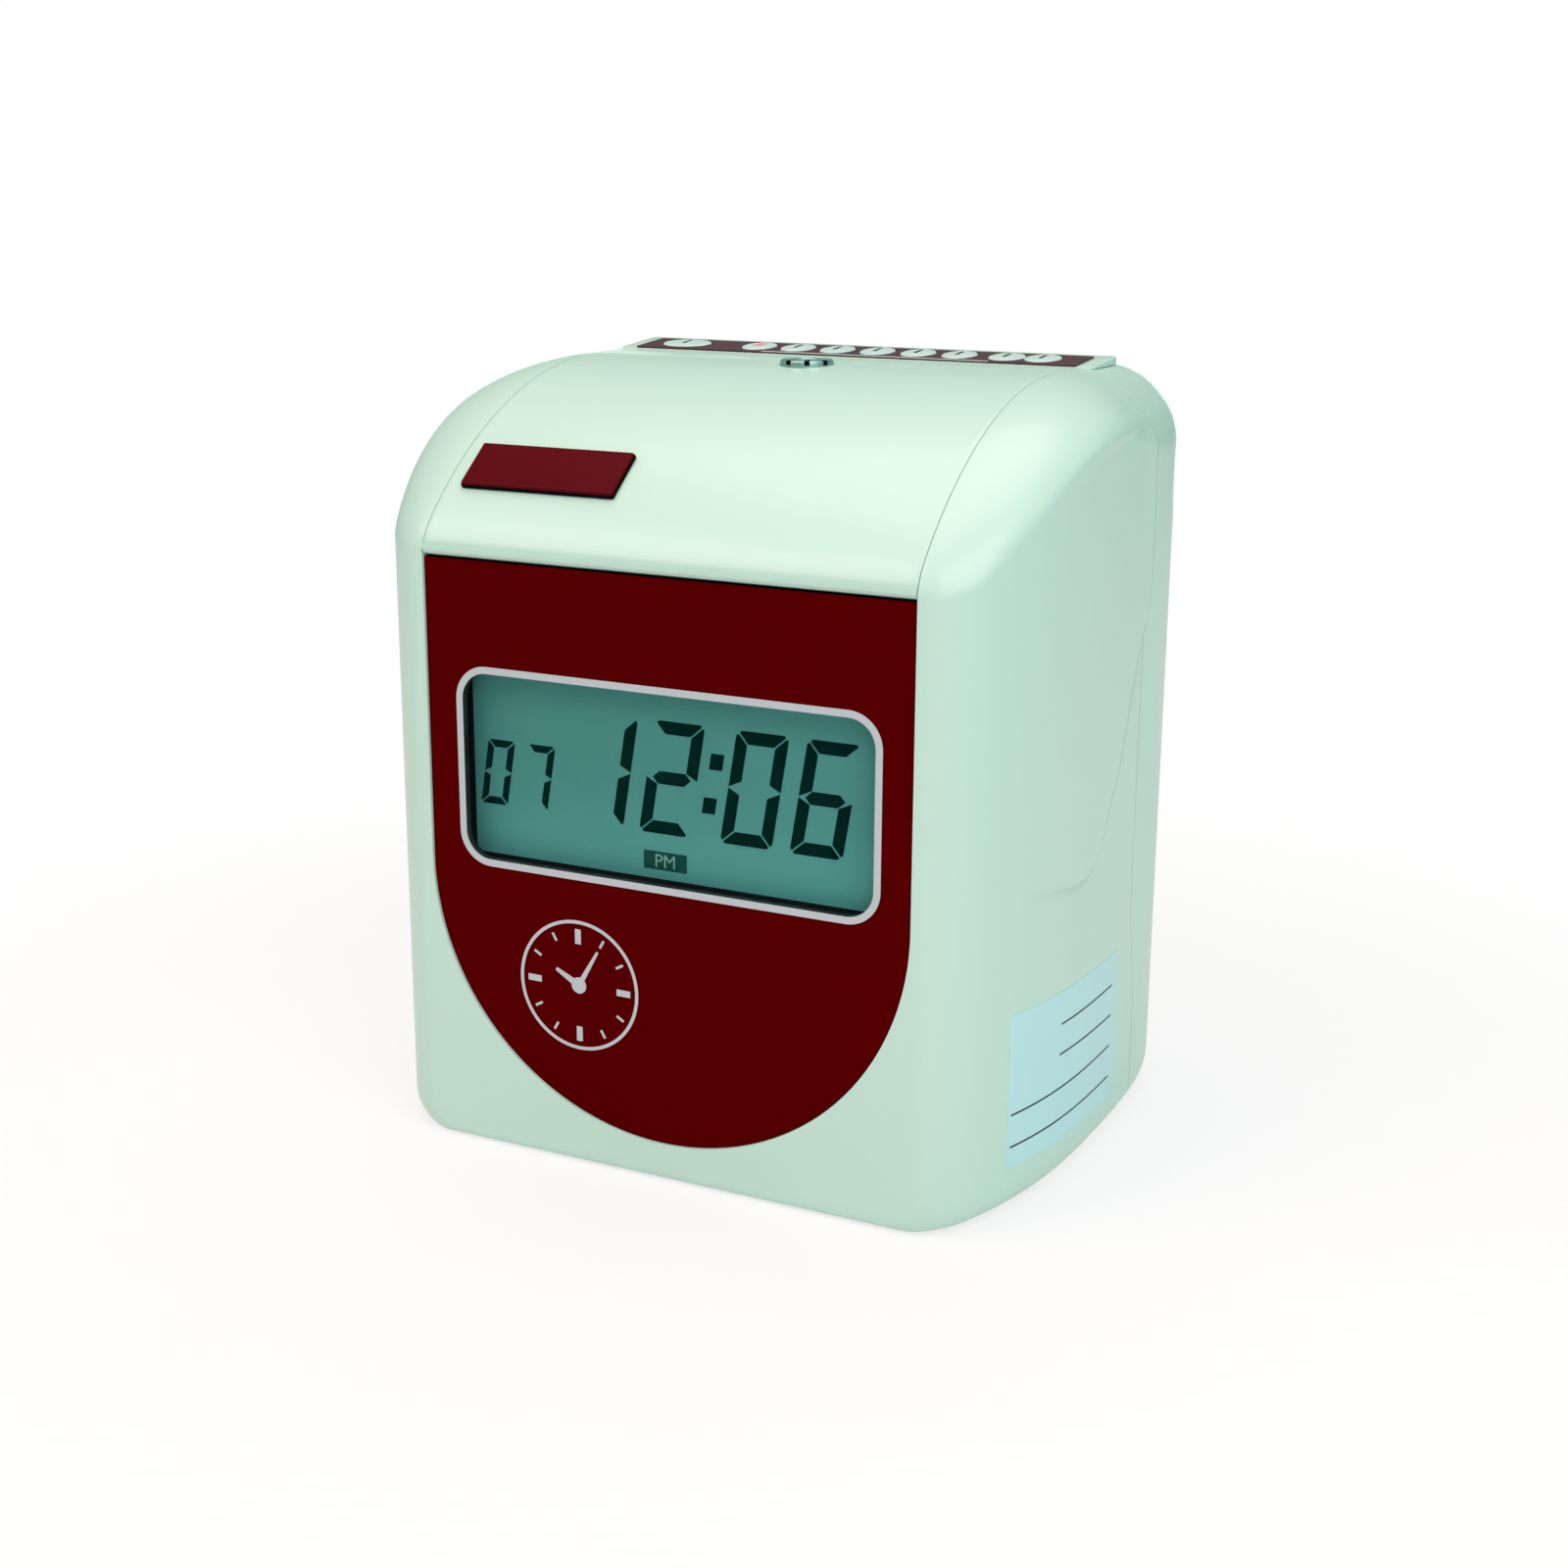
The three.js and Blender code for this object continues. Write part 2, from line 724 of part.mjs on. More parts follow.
// The rebate along the hood opening's sides. It lies under the hood and is rooted in the shoulder.
function hoodLedge(side, start, end) {
  const under = housing.wall + fit.gap;
  const below = form(under + hood.ledgeThickness, 0, housing.depth);
  const inner = side * (panel.halfWidth - hood.ledge);
  const seam = side * (panel.halfWidth + fit.gap);
  const outer = side * (panel.halfWidth + hood.ledge);
  const strip = (a, b) => block(Math.min(a, b), Math.max(a, b), start, end, panel.topZ, reach);
  const shelf = form(under, 0, housing.depth).intersect(strip(inner, outer));
  const root = form(housing.wall / 2, 0, housing.depth).intersect(strip(seam, outer));
  return shelf.add(root).subtract(below);
}

function hoodOpening() {
  const half = panel.halfWidth;
  return block(-half, half, -fit.overrun, hood.backY + fit.gap, panel.topZ, reach);
}

function baseOpening(grow = 0) {
  const { openHalfWidth, openFrontY, openBackY, openCorner } = base;
  const x = openHalfWidth + grow;
  return roundedRect(-x, x, openFrontY - grow, openBackY + grow, openCorner);
}

function sideLabelBlock(clearance) {
  const y0 = label.frontY + clearance;
  const y1 = label.backY - clearance;
  return block(panel.halfWidth, reach, y0, y1, label.lowZ + clearance, label.highZ - clearance);
}

function screwPlaces() {
  const places = [];
  for (const side of [-1, 1]) {
    for (const z of [backWall.screwLowZ, backWall.screwHighZ]) {
      places.push({ side, x: side * backWall.screwX, z });
    }
  }
  return places;
}

function makeFrontHousing() {
  const y = housing.partingY;
  let shell = form(0, 0, y).subtract(form(housing.wall, housing.wall, y + fit.overrun));
  const well = prismY(archOutline(housing.wall), housing.wall / 2, backingY, archSegments);
  shell = shell.add(well.intersect(form(housing.wall / 2)));
  shell = shell.subtract(hoodOpening());
  shell = shell.subtract(prismY(archOutline(0), -fit.overrun, wellDepth, archSegments));
  shell = shell.subtract(prismY(windowOutline(panel.viewInset), -fit.overrun, backingY + fit.overrun, 3));
  for (const side of [-1, 1]) {
    const near = side * panel.halfWidth;
    const far = side * (panel.halfWidth + hood.pinHold + fit.overrun);
    const pinBlock = block(Math.min(near, far), Math.max(near, far), 0, 3 * knuckleY, panel.topZ, reach);
    shell = shell.add(pinBlock.intersect(form(housing.wall / 2))).add(makeHingePin(side));
    shell = shell.add(hoodLedge(side, 3 * knuckleY, y));
    shell = shell.subtract(sideRecessCut(side));
  }
  for (const { side, x, z } of screwPlaces()) {
    const bossY = y - backWall.bossLength;
    const boss = rodY(backWall.bossRadius, x, z, bossY, y, 14);
    const wallX = side * housing.halfWidth;
    const half = backWall.ribThickness / 2;
    const rib = block(Math.min(x, wallX), Math.max(x, wallX), bossY, y, z - half, z + half);
    const pilot = rodY(backWall.screwShankRadius + fit.gap, x, z, bossY + fit.overrun, reach, 10);
    shell = shell.add(boss.add(rib).intersect(form(housing.wall / 2, 0, y))).subtract(pilot);
  }
  shell = shell.subtract(prismZ(baseOpening(), -fit.overrun, housing.wall + fit.overrun, 2));
  return shell.subtract(sideLabelBlock(0).subtract(form(label.pocket)));
}

// The hood turns on two stub pins moulded on the housing's cheeks
function makeHingePin(side) {
  const inner = side * (hood.halfWidth - hood.pinReach);
  const outer = side * (panel.halfWidth + hood.pinHold / 2);
  return rodX(hood.pinRadius, knuckleY, knuckleZ, Math.min(inner, outer), Math.max(inner, outer), 12);
}

function throatBlock(grow) {
  const x = card.funnelWidth / 2 + housing.wall / 2 + grow;
  const y = card.funnelDepth / 2 + housing.wall / 2 + grow;
  return block(-x, x, card.planeY - y, card.planeY + y, throatLowZ, reach);
}

const throatLowZ = topAt(card.planeY) - card.throatLength;

function keyholeCut(x) {
  const y0 = housing.depth - 2 * housing.wall;
  const { keyholeZ, keyholeRadius, keyholeSlotRadius, keyholeRise } = backWall;
  const round = rodY(keyholeRadius, x, keyholeZ, y0, reach, 16);
  const end = rodY(keyholeSlotRadius, x, keyholeZ + keyholeRise, y0, reach, 12);
  const half = keyholeSlotRadius;
  return round.add(end).add(block(x - half, x + half, y0, reach, keyholeZ, keyholeZ + keyholeRise));
}

function inletBlock(grow, y0, y1) {
  const x = power.inletWidth / 2 + grow;
  const z = power.inletHeight / 2 + grow;
  return block(power.inletX - x, power.inletX + x, y0, y1, power.inletZ - z, power.inletZ + z);
}

function makeBackCover() {
  const y0 = housing.partingY + fit.gap;
  const backInside = housing.depth - housing.wall;
  let shell = form(0, y0, housing.depth).subtract(form(housing.wall, y0 - fit.overrun, backInside));
  shell = shell.subtract(hoodOpening());
  const strikeY = hood.backY + fit.gap;
  const strikeTop = housing.topHeight - lock.strikeDepth;
  const strike = block(-reach, reach, strikeY, strikeY + lock.strikeThickness, strikeTop, reach);
  shell = shell.add(strike.intersect(form(housing.wall / 2)));
  const slotZ = camZ() + lock.camThickness / 2;
  const half = lock.strikeSlotHalfWidth;
  const slotHalfHeight = lock.strikeSlotHeight / 2;
  shell = shell.subtract(block(-half, half, strikeY - fit.overrun, strikeY + 2 * fit.overrun,
    slotZ - slotHalfHeight, slotZ + slotHalfHeight));
  for (const side of [-1, 1]) shell = shell.add(hoodLedge(side, y0, strikeY + lock.strikeThickness / 2));
  for (const { x, z } of screwPlaces()) {
    const tube = rodY(backWall.bossRadius, x, z, y0, housing.depth - housing.wall / 2, 14);
    const bore = rodY(backWall.screwHeadRadius + fit.gap, x, z, backWall.screwHeadY, reach, 14);
    const through = rodY(backWall.screwShankRadius + fit.gap, x, z, y0 - fit.overrun, reach, 10);
    shell = shell.add(tube).subtract(bore).subtract(through);
  }
  shell = shell.subtract(keypadSkirtBlock(fit.gap, housing.topHeight - 2 * housing.wall, reach));
  shell = shell.subtract(throatBlock(fit.gap));
  shell = shell.subtract(keyholeCut(-backWall.keyholeX)).subtract(keyholeCut(backWall.keyholeX));
  shell = shell.subtract(inletBlock(fit.gap, backInside - fit.overrun, reach));
  return shell.subtract(prismZ(baseOpening(), -fit.overrun, housing.wall + fit.overrun, 2));
}

// The plate over the housing's open bottom, with its vents and the two ribs that the card lands on
function makeBasePlate() {
  const low = housing.wall + fit.gap;
  let plate = prismZ(baseOpening(base.rim), low, low + base.thickness, 2);
  for (let i = 0; i < ventCount; i += 1) {
    const y = base.ventY + (i - (ventCount - 1) / 2) * base.ventPitch;
    const x0 = base.ventX - base.ventLength / 2;
    plate = plate.subtract(block(x0, x0 + base.ventLength, y - base.ventWidth / 2, y + base.ventWidth / 2,
      low - fit.overrun, low + base.thickness + fit.overrun));
  }
  const halfDepth = card.slotDepth / 2 - fit.gap;
  for (const x of [-card.stopX, card.stopX]) {
    plate = plate.add(block(x - card.stopWidth / 2, x + card.stopWidth / 2, card.planeY - halfDepth,
      card.planeY + halfDepth, low, card.lowZ + card.sheet));
  }
  return plate;
}

// Hood, its pins, its lock and its badge

function makeHood() {
  const half = hood.halfWidth;
  const skin = form(0, 0, hood.backY).subtract(form(housing.wall, housing.wall, hood.backY + fit.overrun));
  let lid = skin.intersect(block(-half, half, -fit.overrun, reach, hood.lowerZ, reach));
  lid = lid.add(rodX(hood.knuckleRadius, knuckleY, knuckleZ, -half, half, 20));
  const lip = block(-reach, reach, -fit.overrun, knuckleY, 0, knuckleZ);
  const swing = rodX(hood.knuckleRadius + fit.gap, knuckleY, knuckleZ, -2 * reach, 2 * reach, 24);
  lid = lid.subtract(lip.subtract(swing));
  const ribs = form(housing.wall / 2).subtract(form(housing.wall + hood.ribDepth));
  const ribHalf = panel.halfWidth - hood.ledge - hood.ribThickness;
  const ribReach = hood.ribThickness / 2;
  for (const y of [hood.ribY, hood.backY - ribReach]) {
    lid = lid.add(ribs.intersect(block(-ribHalf, ribHalf, y - ribReach, y + ribReach, hood.lowerZ, reach)));
  }
  const pinHole = rodX(hood.pinRadius + fit.gap, knuckleY, knuckleZ, -reach, reach, 12);
  const coreHalf = half - hood.pinReach - fit.gap;
  const core = block(-coreHalf, coreHalf, -reach, reach, 0, reach);
  lid = lid.subtract(pinHole.subtract(core));
  lid = lid.subtract(rodZ(lock.faceRadius + fit.gap, 0, lock.y, lockSeatZ(), reach, 24));
  return lid.subtract(rodZ(lock.bodyRadius + fit.gap, 0, lock.y, 0, reach, 20));
}

function lockSeatZ() {
  return topAt(lock.y - lock.faceRadius) - fit.gap;
}

function camZ() {
  return lockSeatZ() + fit.gap - lock.bodyLength - lock.camThickness - fit.gap;
}

function makeLockBody() {
  const seat = lockSeatZ() + fit.gap;
  const flange = rodZ(lock.faceRadius, 0, lock.y, seat, topAt(lock.y) + lock.faceProud, 24);
  const body = rodZ(lock.bodyRadius, 0, lock.y, seat - lock.bodyLength, seat + fit.gap, 20);
  return flange.add(body).subtract(rodZ(lock.plugRadius + fit.running, 0, lock.y, 0, reach, 20));
}

function makeLockPlug() {
  const top = topAt(lock.y) + lock.faceProud - fit.gap;
  const shoulder = camZ() + lock.camThickness + fit.gap;
  const plug = rodZ(lock.plugRadius, 0, lock.y, shoulder, top, 20);
  const tail = rodZ(lock.plugRadius / 2, 0, lock.y, camZ() - lock.tailLength, shoulder + fit.gap, 12);
  const halfX = lock.keyWidth / 2;
  const halfY = lock.keyLength / 2;
  const keyway = block(-halfX, halfX, lock.y - halfY, lock.y + halfY, top - lock.keyDepth, reach);
  return plug.add(tail).subtract(keyway);
}

function makeLockCam() {
  const half = lock.camWidth / 2;
  const z = camZ();
  const outline = new THREE.Shape();
  outline.absarc(0, lock.y, half, Math.PI / 2, 1.5 * Math.PI);
  outline.lineTo(lock.camLength - half, lock.y - half);
  outline.absarc(lock.camLength - half, lock.y, half, -Math.PI / 2, Math.PI / 2);
  const hole = rodZ(lock.plugRadius / 2 + fit.gap, 0, lock.y, z - fit.overrun, reach, 12);
  return prismZ(outline, z, z + lock.camThickness, 4).subtract(hole);
}

// The badge lies flat on the hood's slope: its group is turned to the slope at its middle
function addBadge() {
  const step = badge.height / 4;
  const slope = Math.atan2(topAt(badge.centreY + step) - topAt(badge.centreY - step), 2 * step);
  const outline = roundedRect(-badge.length / 2 + badge.bevel, badge.length / 2 - badge.bevel,
    -badge.height / 2 + badge.bevel, badge.height / 2 - badge.bevel, badge.corner);
  const plate = new THREE.ExtrudeGeometry(outline, {
    depth: badge.thickness - 2 * badge.bevel,
    bevelThickness: badge.bevel,
    bevelSize: badge.bevel,
    bevelSegments: 2,
    curveSegments: 2,
  });
  const tilt = new THREE.Group();
  tilt.position.set(badge.centreX, badge.centreY, topAt(badge.centreY));
  tilt.rotation.x = slope;
  const mesh = piece('badge_plate', toSolid(plate.translate(0, 0, badge.bevel + fit.gap)), 'badgeRed', tilt);
  clock.add(tilt);
  return mesh;
}

function makeSideLabel() {
  const outer = label.pocket - fit.gap / 3 - label.thickness;
  const skin = form(Math.max(outer, 0)).subtract(form(label.pocket - fit.gap / 3));
  return skin.intersect(sideLabelBlock(fit.gap / 2));
}

// Display

function makeFrontPanel() {
  const y0 = panel.setBack;
  const plate = prismY(archOutline(-fit.gap), y0, y0 + panel.thickness, archSegments);
  return plate.subtract(prismY(windowOutline(0), y0 - fit.overrun, y0 + panel.thickness + fit.overrun, 3));
}

function makeWindowLine() {
  const y0 = panel.setBack - panel.lineProud;
  const y1 = panel.setBack + panel.thickness;
  const ring = prismY(windowOutline(fit.gap / 3), y0, y1, 3);
  return ring.subtract(prismY(windowOutline(panel.lineWidth), y0 - fit.overrun, y1 + fit.overrun, 3));
}

function makeWindowLens() {
  const y0 = panel.setBack + fit.gap;
  return prismY(windowOutline(panel.lineWidth + fit.gap / 3), y0, y0 + panel.lensThickness, 3);
}

const frameFrontY = backingY + fit.gap;
const frameBackY = lcd.frontY + lcd.glassThickness + fit.gap;
const lcdBoardY = frameBackY + fit.gap;

function makeLcdFrame() {
  const viewOpening = prismY(windowOutline(panel.viewInset), 0, reach, 3);
  const pocket = prismY(windowOutline(lcd.glassInset), frameFrontY + lcd.frameLip, reach, 3);
  const outer = prismY(windowOutline(-lcd.frameRim), frameFrontY, frameBackY, 3);
  return outer.subtract(viewOpening).subtract(pocket);
}

function makeLcdGlass() {
  return prismY(windowOutline(lcd.glassInset + fit.gap), lcd.frontY, lcd.frontY + lcd.glassThickness, 3);
}

function makeDisplayBoard() {
  const board = prismY(windowOutline(-lcd.frameRim), lcdBoardY, lcdBoardY + lcd.boardThickness, 2);
  const midX = (panel.windowRight - panel.windowLeft) / 2;
  const midZ = (panel.windowLowZ + panel.windowHighZ) / 2;
  const chip = power.chipWidth / 2;
  const chipY = lcdBoardY + lcd.boardThickness + power.chipHeight;
  const chipBlock = block(midX - chip, midX + chip, lcdBoardY, chipY, midZ - chip / 2, midZ + chip / 2);
  return board.add(chipBlock);
}

// Keys on top

const keySlope = (keypad.backProud - keypad.frontProud) / (keypad.backY - keypad.frontY);

// A slab that follows the keypad's slope, from lift low to lift high over its surface
function slopeSlab(x0, x1, y0, y1, low, high) {
  const surfaceZ = (y) => housing.topHeight + keypad.frontProud + keySlope * (y - keypad.frontY);
  const z0 = surfaceZ(y0);
  const z1 = surfaceZ(y1);
  return prismX(polygon([[y0, z0 + low], [y1, z1 + low], [y1, z1 + high], [y0, z0 + high]]), x0, x1);
}

function keypadSkirtBlock(grow, z0, z1) {
  const { skirtHalfWidth, skirtFrontY, skirtBackY } = keypad;
  return block(-skirtHalfWidth - grow, skirtHalfWidth + grow, skirtFrontY - grow, skirtBackY + grow, z0, z1);
}

function keyPlaces() {
  const half = keypad.filmHalfWidth;
  const places = [{ x: -half * bigKeyShare, width: keypad.bigKeyWidth }];
  for (let i = 0; i < rowCount; i += 1) {
    const x = half * (i * rowPitchShare - rowFirstShare);
    places.push({ x, width: half * rowPitchShare - keypad.rowSpace });
  }
  for (const i of [0, 1]) {
    const x = half * (pairFirstShare + i * pairPitchShare);
    places.push({ x, width: half * pairPitchShare - keypad.pairSpace });
  }
  return places;
}

const keyMidY = (keypad.filmFrontY + keypad.filmBackY) / 2;

function keyOutline(x, width, grow) {
  const shape = new THREE.Shape();
  shape.absellipse(x, keyMidY, width / 2 + grow, keypad.keyDepth / 2 + grow, 0, 2 * Math.PI);
  return shape;
}

const keySegments = 9;

function makeKeyConsole() {
  const seat = housing.topHeight + fit.gap;
  const skirtLow = housing.topHeight - keypad.skirtDepth;
  const inner = -keypad.skirtWall;
  const wedge = slopeSlab(-keypad.halfWidth, keypad.halfWidth, keypad.frontY, keypad.backY, -reach, 0);
  const rim = roundedRect(-keypad.halfWidth, keypad.halfWidth, keypad.frontY, keypad.backY, keypad.corner);
  let deck = wedge.intersect(prismZ(rim, seat, reach, 2));
  deck = deck.add(keypadSkirtBlock(0, skirtLow, reach).intersect(wedge));
  deck = deck.subtract(keypadSkirtBlock(inner, 0, housing.topHeight - keypad.skirtWall));
  for (const { x, width } of keyPlaces()) {
    deck = deck.subtract(prismZ(keyOutline(x, width, fit.gap), 0, reach, keySegments));
  }
  return deck;
}

function makeKeyFilm() {
  const { filmHalfWidth, filmFrontY, filmBackY, filmThickness } = keypad;
  const lift = fit.gap / 3;
  let film = slopeSlab(-filmHalfWidth, filmHalfWidth, filmFrontY, filmBackY, lift, lift + filmThickness);
  for (const { x, width } of keyPlaces()) {
    film = film.subtract(prismZ(keyOutline(x, width, fit.gap), 0, reach, keySegments));
  }
  return film;
}

const keyBoardZ = housing.topHeight - keypad.skirtDepth;
const switchTopZ = keyBoardZ + keypad.boardThickness + keypad.switchHeight;

function makeKeyBoard() {
  let board = keypadSkirtBlock(-keypad.skirtWall - fit.gap, keyBoardZ, keyBoardZ + keypad.boardThickness);
  const half = keypad.switchSize / 2;
  for (const { x } of keyPlaces()) {
    board = board.add(block(x - half, x + half, keyMidY - half, keyMidY + half, keyBoardZ, switchTopZ));
  }
  return board;
}

function makeKey(x, width) {
  const top = keypad.filmThickness + fit.gap + keypad.keyProud;
  const capThickness = top + keypad.skirtWall / 2;
  const cap = prismZ(keyOutline(x, width, 0), 0, reach, keySegments)
    .intersect(slopeSlab(-reach, reach, keypad.frontY, keypad.backY, top - capThickness, top));
  const stemLow = switchTopZ + keypad.keyTravel + fit.gap;
  return cap.add(rodZ(keypad.stemRadius, x, keyMidY, stemLow, housing.topHeight + keypad.frontProud, 10));
}

// Card throat and guides

function taperCut(wideX, wideY, narrowX, narrowY, z0, z1) {
  const y = card.planeY;
  const acrossX = prismY(polygon([[-narrowX, z0], [narrowX, z0], [wideX, z1], [-wideX, z1]]), 0, reach);
  const acrossY = prismX(polygon([[y - narrowY, z0], [y + narrowY, z0], [y + wideY, z1], [y - wideY, z1]]),
    -reach, reach);
  return acrossX.intersect(acrossY);
}

function makeCardThroat() {
  const top = topAt(card.planeY);
  const halfW = card.throatWidth / 2;
  const halfD = card.throatDepth / 2;
  const rimOutline = roundedRect(-halfW, halfW, card.planeY - halfD, card.planeY + halfD, keypad.corner);
  const rim = prismZ(rimOutline, housing.topHeight / 2, reach, 2)
    .intersect(form(-fit.gap - card.throatRim).subtract(form(-fit.gap)));
  const body = throatBlock(0).intersect(form(-fit.gap - card.throatRim / 2));
  const mouth = taperCut(card.funnelWidth / 2, card.funnelDepth / 2, card.slotWidth / 2, card.slotDepth / 2,
    top - card.throatLength / 2, top + card.throatRim + fit.gap + fit.overrun / 4);
  const slot = block(-card.slotWidth / 2, card.slotWidth / 2, card.planeY - card.slotDepth / 2,
    card.planeY + card.slotDepth / 2, 0, reach);
  return rim.add(body).subtract(mouth).subtract(slot);
}

const guideHalf = frame.plateX - fit.gap;
const frontGuideY = card.planeY - card.slotDepth / 2;
const backGuideY = card.planeY + card.slotDepth / 2;
const driveY = card.planeY - feed.nip - feed.driveRadius;
const pinchY = card.planeY + feed.nip + feed.pinchRadius;

function rollerWindows(near, far, radius) {
  const y0 = near - fit.overrun;
  const y1 = far + fit.overrun;
  const half = feed.rollerWidth / 2 + 3 * fit.gap;
  const tall = radius + 3 * fit.gap;
  const window = (x) => block(x - half, x + half, y0, y1, feed.axisZ - tall, feed.axisZ + tall);
  return window(-feed.rollerX).add(window(feed.rollerX));
}

function makeFrontGuide() {
  const y0 = frontGuideY - card.sheet;
  const y1 = frontGuideY;
  const plate = block(-guideHalf, guideHalf, y0, y1, card.lowZ, throatLowZ - fit.gap);
  const half = ribbon.armInnerX - fit.gap;
  const headWindow = block(-half, half, y0 - fit.overrun, y1 + fit.overrun,
    printer.noseLowZ - fit.overrun, printer.noseHighZ + fit.overrun);
  return plate.subtract(headWindow).subtract(rollerWindows(y0, y1, feed.driveRadius));
}

const platenHalf = ribbon.armInnerX + fit.overrun;
const platenLow = printer.platenZ - printer.platenHeight / 2;
const platenHigh = printer.platenZ + printer.platenHeight / 2;

function makeBackGuide() {
  const y0 = backGuideY;
  const y1 = backGuideY + card.sheet;
  const plate = block(-guideHalf, guideHalf, y0, y1, card.lowZ, throatLowZ - fit.gap);
  const x = platenHalf + fit.gap;
  const platenWindow = block(-x, x, y0 - fit.overrun, y1 + fit.overrun,
    platenLow - fit.gap, platenHigh + fit.gap);
  return plate.subtract(platenWindow).subtract(rollerWindows(y0, y1, feed.pinchRadius));
}

function makePlaten() {
  const face = card.planeY + feed.nip;
  const beam = backGuideY + card.sheet + fit.gap;
  const bar = block(-platenHalf, platenHalf, face, beam + fit.gap, platenLow, platenHigh);
  const back = beam + printer.platenThickness / 2;
  return bar.add(block(-guideHalf, guideHalf, beam, back, platenLow, platenHigh));
}

// Side plates, rods, bridge

const gearModule = 2 * feed.gearPitchRadius / gearTeeth;
const pinionY = driveY - gearModule * (gearTeeth + pinionTeeth) / 2;
const motorShaftHole = beltDrive.shaftRadius + fit.running;

function makeSidePlate(side) {
  const f = frame;
  const outline = polygon([
    [f.legY, floorZ], [f.legBackY, floorZ], [f.legBackY, f.legHighZ], [f.backY, f.legHighZ],
    [f.backY, f.topZ], [f.armY, f.topZ], [f.armY, f.armLowZ], [f.legY, f.armLowZ],
  ]);
  const inner = side * f.plateX;
  const outer = side * (f.plateX + f.sheet);
  let plate = prismX(outline, Math.min(inner, outer), Math.max(inner, outer));
  const flange = side * (f.plateX - f.footLength);
  plate = plate.add(block(Math.min(flange, outer), Math.max(flange, outer), f.legY, f.legBackY,
    floorZ, floorZ + f.sheet));
  const hole = (radius, y, z, sides) => rodX(radius, y, z, -reach, reach, sides);
  for (const y of [printer.frontRodY, printer.backRodY]) {
    plate = plate.subtract(hole(printer.rodRadius + fit.running, y, printer.rodZ, 14));
  }
  plate = plate.subtract(hole(feed.shaftRadius + fit.running, driveY, feed.axisZ, 14));
  plate = plate.subtract(hole(feed.pinchShaftRadius + fit.running, pinchY, feed.axisZ, 12));
  return side > 0 ? plate.subtract(hole(motorShaftHole, pinionY, feed.axisZ, 12)) : plate;
}

function makeGuideRod(y) {
  const end = frame.plateX + frame.sheet + printer.rodOverhang;
  return rodX(printer.rodRadius, y, printer.rodZ, -end, end, 14);
}

function makeBridge() {
  const { bridgeY, bridgeDrop, bridgeRise } = printer;
  const z = beltDrive.pulleyZ;
  let bridge = block(-guideHalf, guideHalf, bridgeY, bridgeY + frame.sheet, z - bridgeDrop, z + bridgeRise);
  for (const side of [-1, 1]) {
    bridge = bridge.subtract(rodY(motorShaftHole, side * beltDrive.pulleyX, beltDrive.pulleyZ, 0, reach, 12));
  }
  return bridge;
}

const beltY = printer.bridgeY + frame.sheet + beltDrive.flangeThickness + 2 * fit.gap;

function beltOutline(radius) {
  const { pulleyX, pulleyZ } = beltDrive;
  const shape = new THREE.Shape();
  shape.absarc(pulleyX, pulleyZ, radius, -Math.PI / 2, Math.PI / 2);
  shape.absarc(-pulleyX, pulleyZ, radius, Math.PI / 2, 1.5 * Math.PI);
  return shape;
}

function makeBelt() {
  const y1 = beltY + beltDrive.width;
  const inner = beltDrive.pulleyRadius + fit.gap;
  const outer = prismY(beltOutline(inner + beltDrive.thickness), beltY, y1, 6);
  return outer.subtract(prismY(beltOutline(inner), beltY - fit.overrun, y1 + fit.overrun, 6));
}

function makePulley(side, shaftLength) {
  const x = side * beltDrive.pulleyX;
  const z = beltDrive.pulleyZ;
  const near = beltY - fit.gap;
  const far = beltY + beltDrive.width + fit.gap;
  const start = near - beltDrive.flangeThickness;
  const end = far + beltDrive.flangeThickness;
  const rim = beltDrive.pulleyRadius + beltDrive.flange;
  const core = rodY(beltDrive.pulleyRadius, x, z, start, end, 16);
  const nearFlange = rodY(rim, x, z, start, near, 16);
  const farFlange = rodY(rim, x, z, far, end, 16);
  const shaft = rodY(beltDrive.shaftRadius, x, z, near - shaftLength, far, 10);
  return core.add(nearFlange).add(farFlange).add(shaft);
}

function makeCarriageMotor() {
  const { pulleyX, pulleyZ, motorRadius, motorLength } = beltDrive;
  const y1 = printer.bridgeY - fit.gap;
  const body = rodY(motorRadius, pulleyX, pulleyZ, y1 - motorLength, y1, 24);
  const bore = rodY(motorShaftHole, pulleyX, pulleyZ, y1 - motorLength / 2, reach, 12);
  return body.subtract(bore);
}

function makeCarriage() {
  const half = printer.carriageWidth / 2;
  const y0 = printer.frontRodY - printer.carriageMargin;
  const y1 = printer.backRodY + printer.carriageMargin;
  let carriage = block(-half, half, y0, y1, printer.carriageLowZ, printer.carriageHighZ);
  const beltTop = beltDrive.pulleyZ + beltDrive.pulleyRadius + beltDrive.thickness + 2 * fit.gap;
  const clamp = printer.clampWidth / 2;
  const clampY = beltY + beltDrive.width;
  carriage = carriage.add(block(-clamp, clamp, beltY, clampY, beltTop, printer.carriageHighZ));
  for (const y of [printer.frontRodY, printer.backRodY]) {
    carriage = carriage.subtract(rodX(printer.rodRadius + fit.running, y, printer.rodZ, -reach, reach, 14));
  }
  return carriage;
}

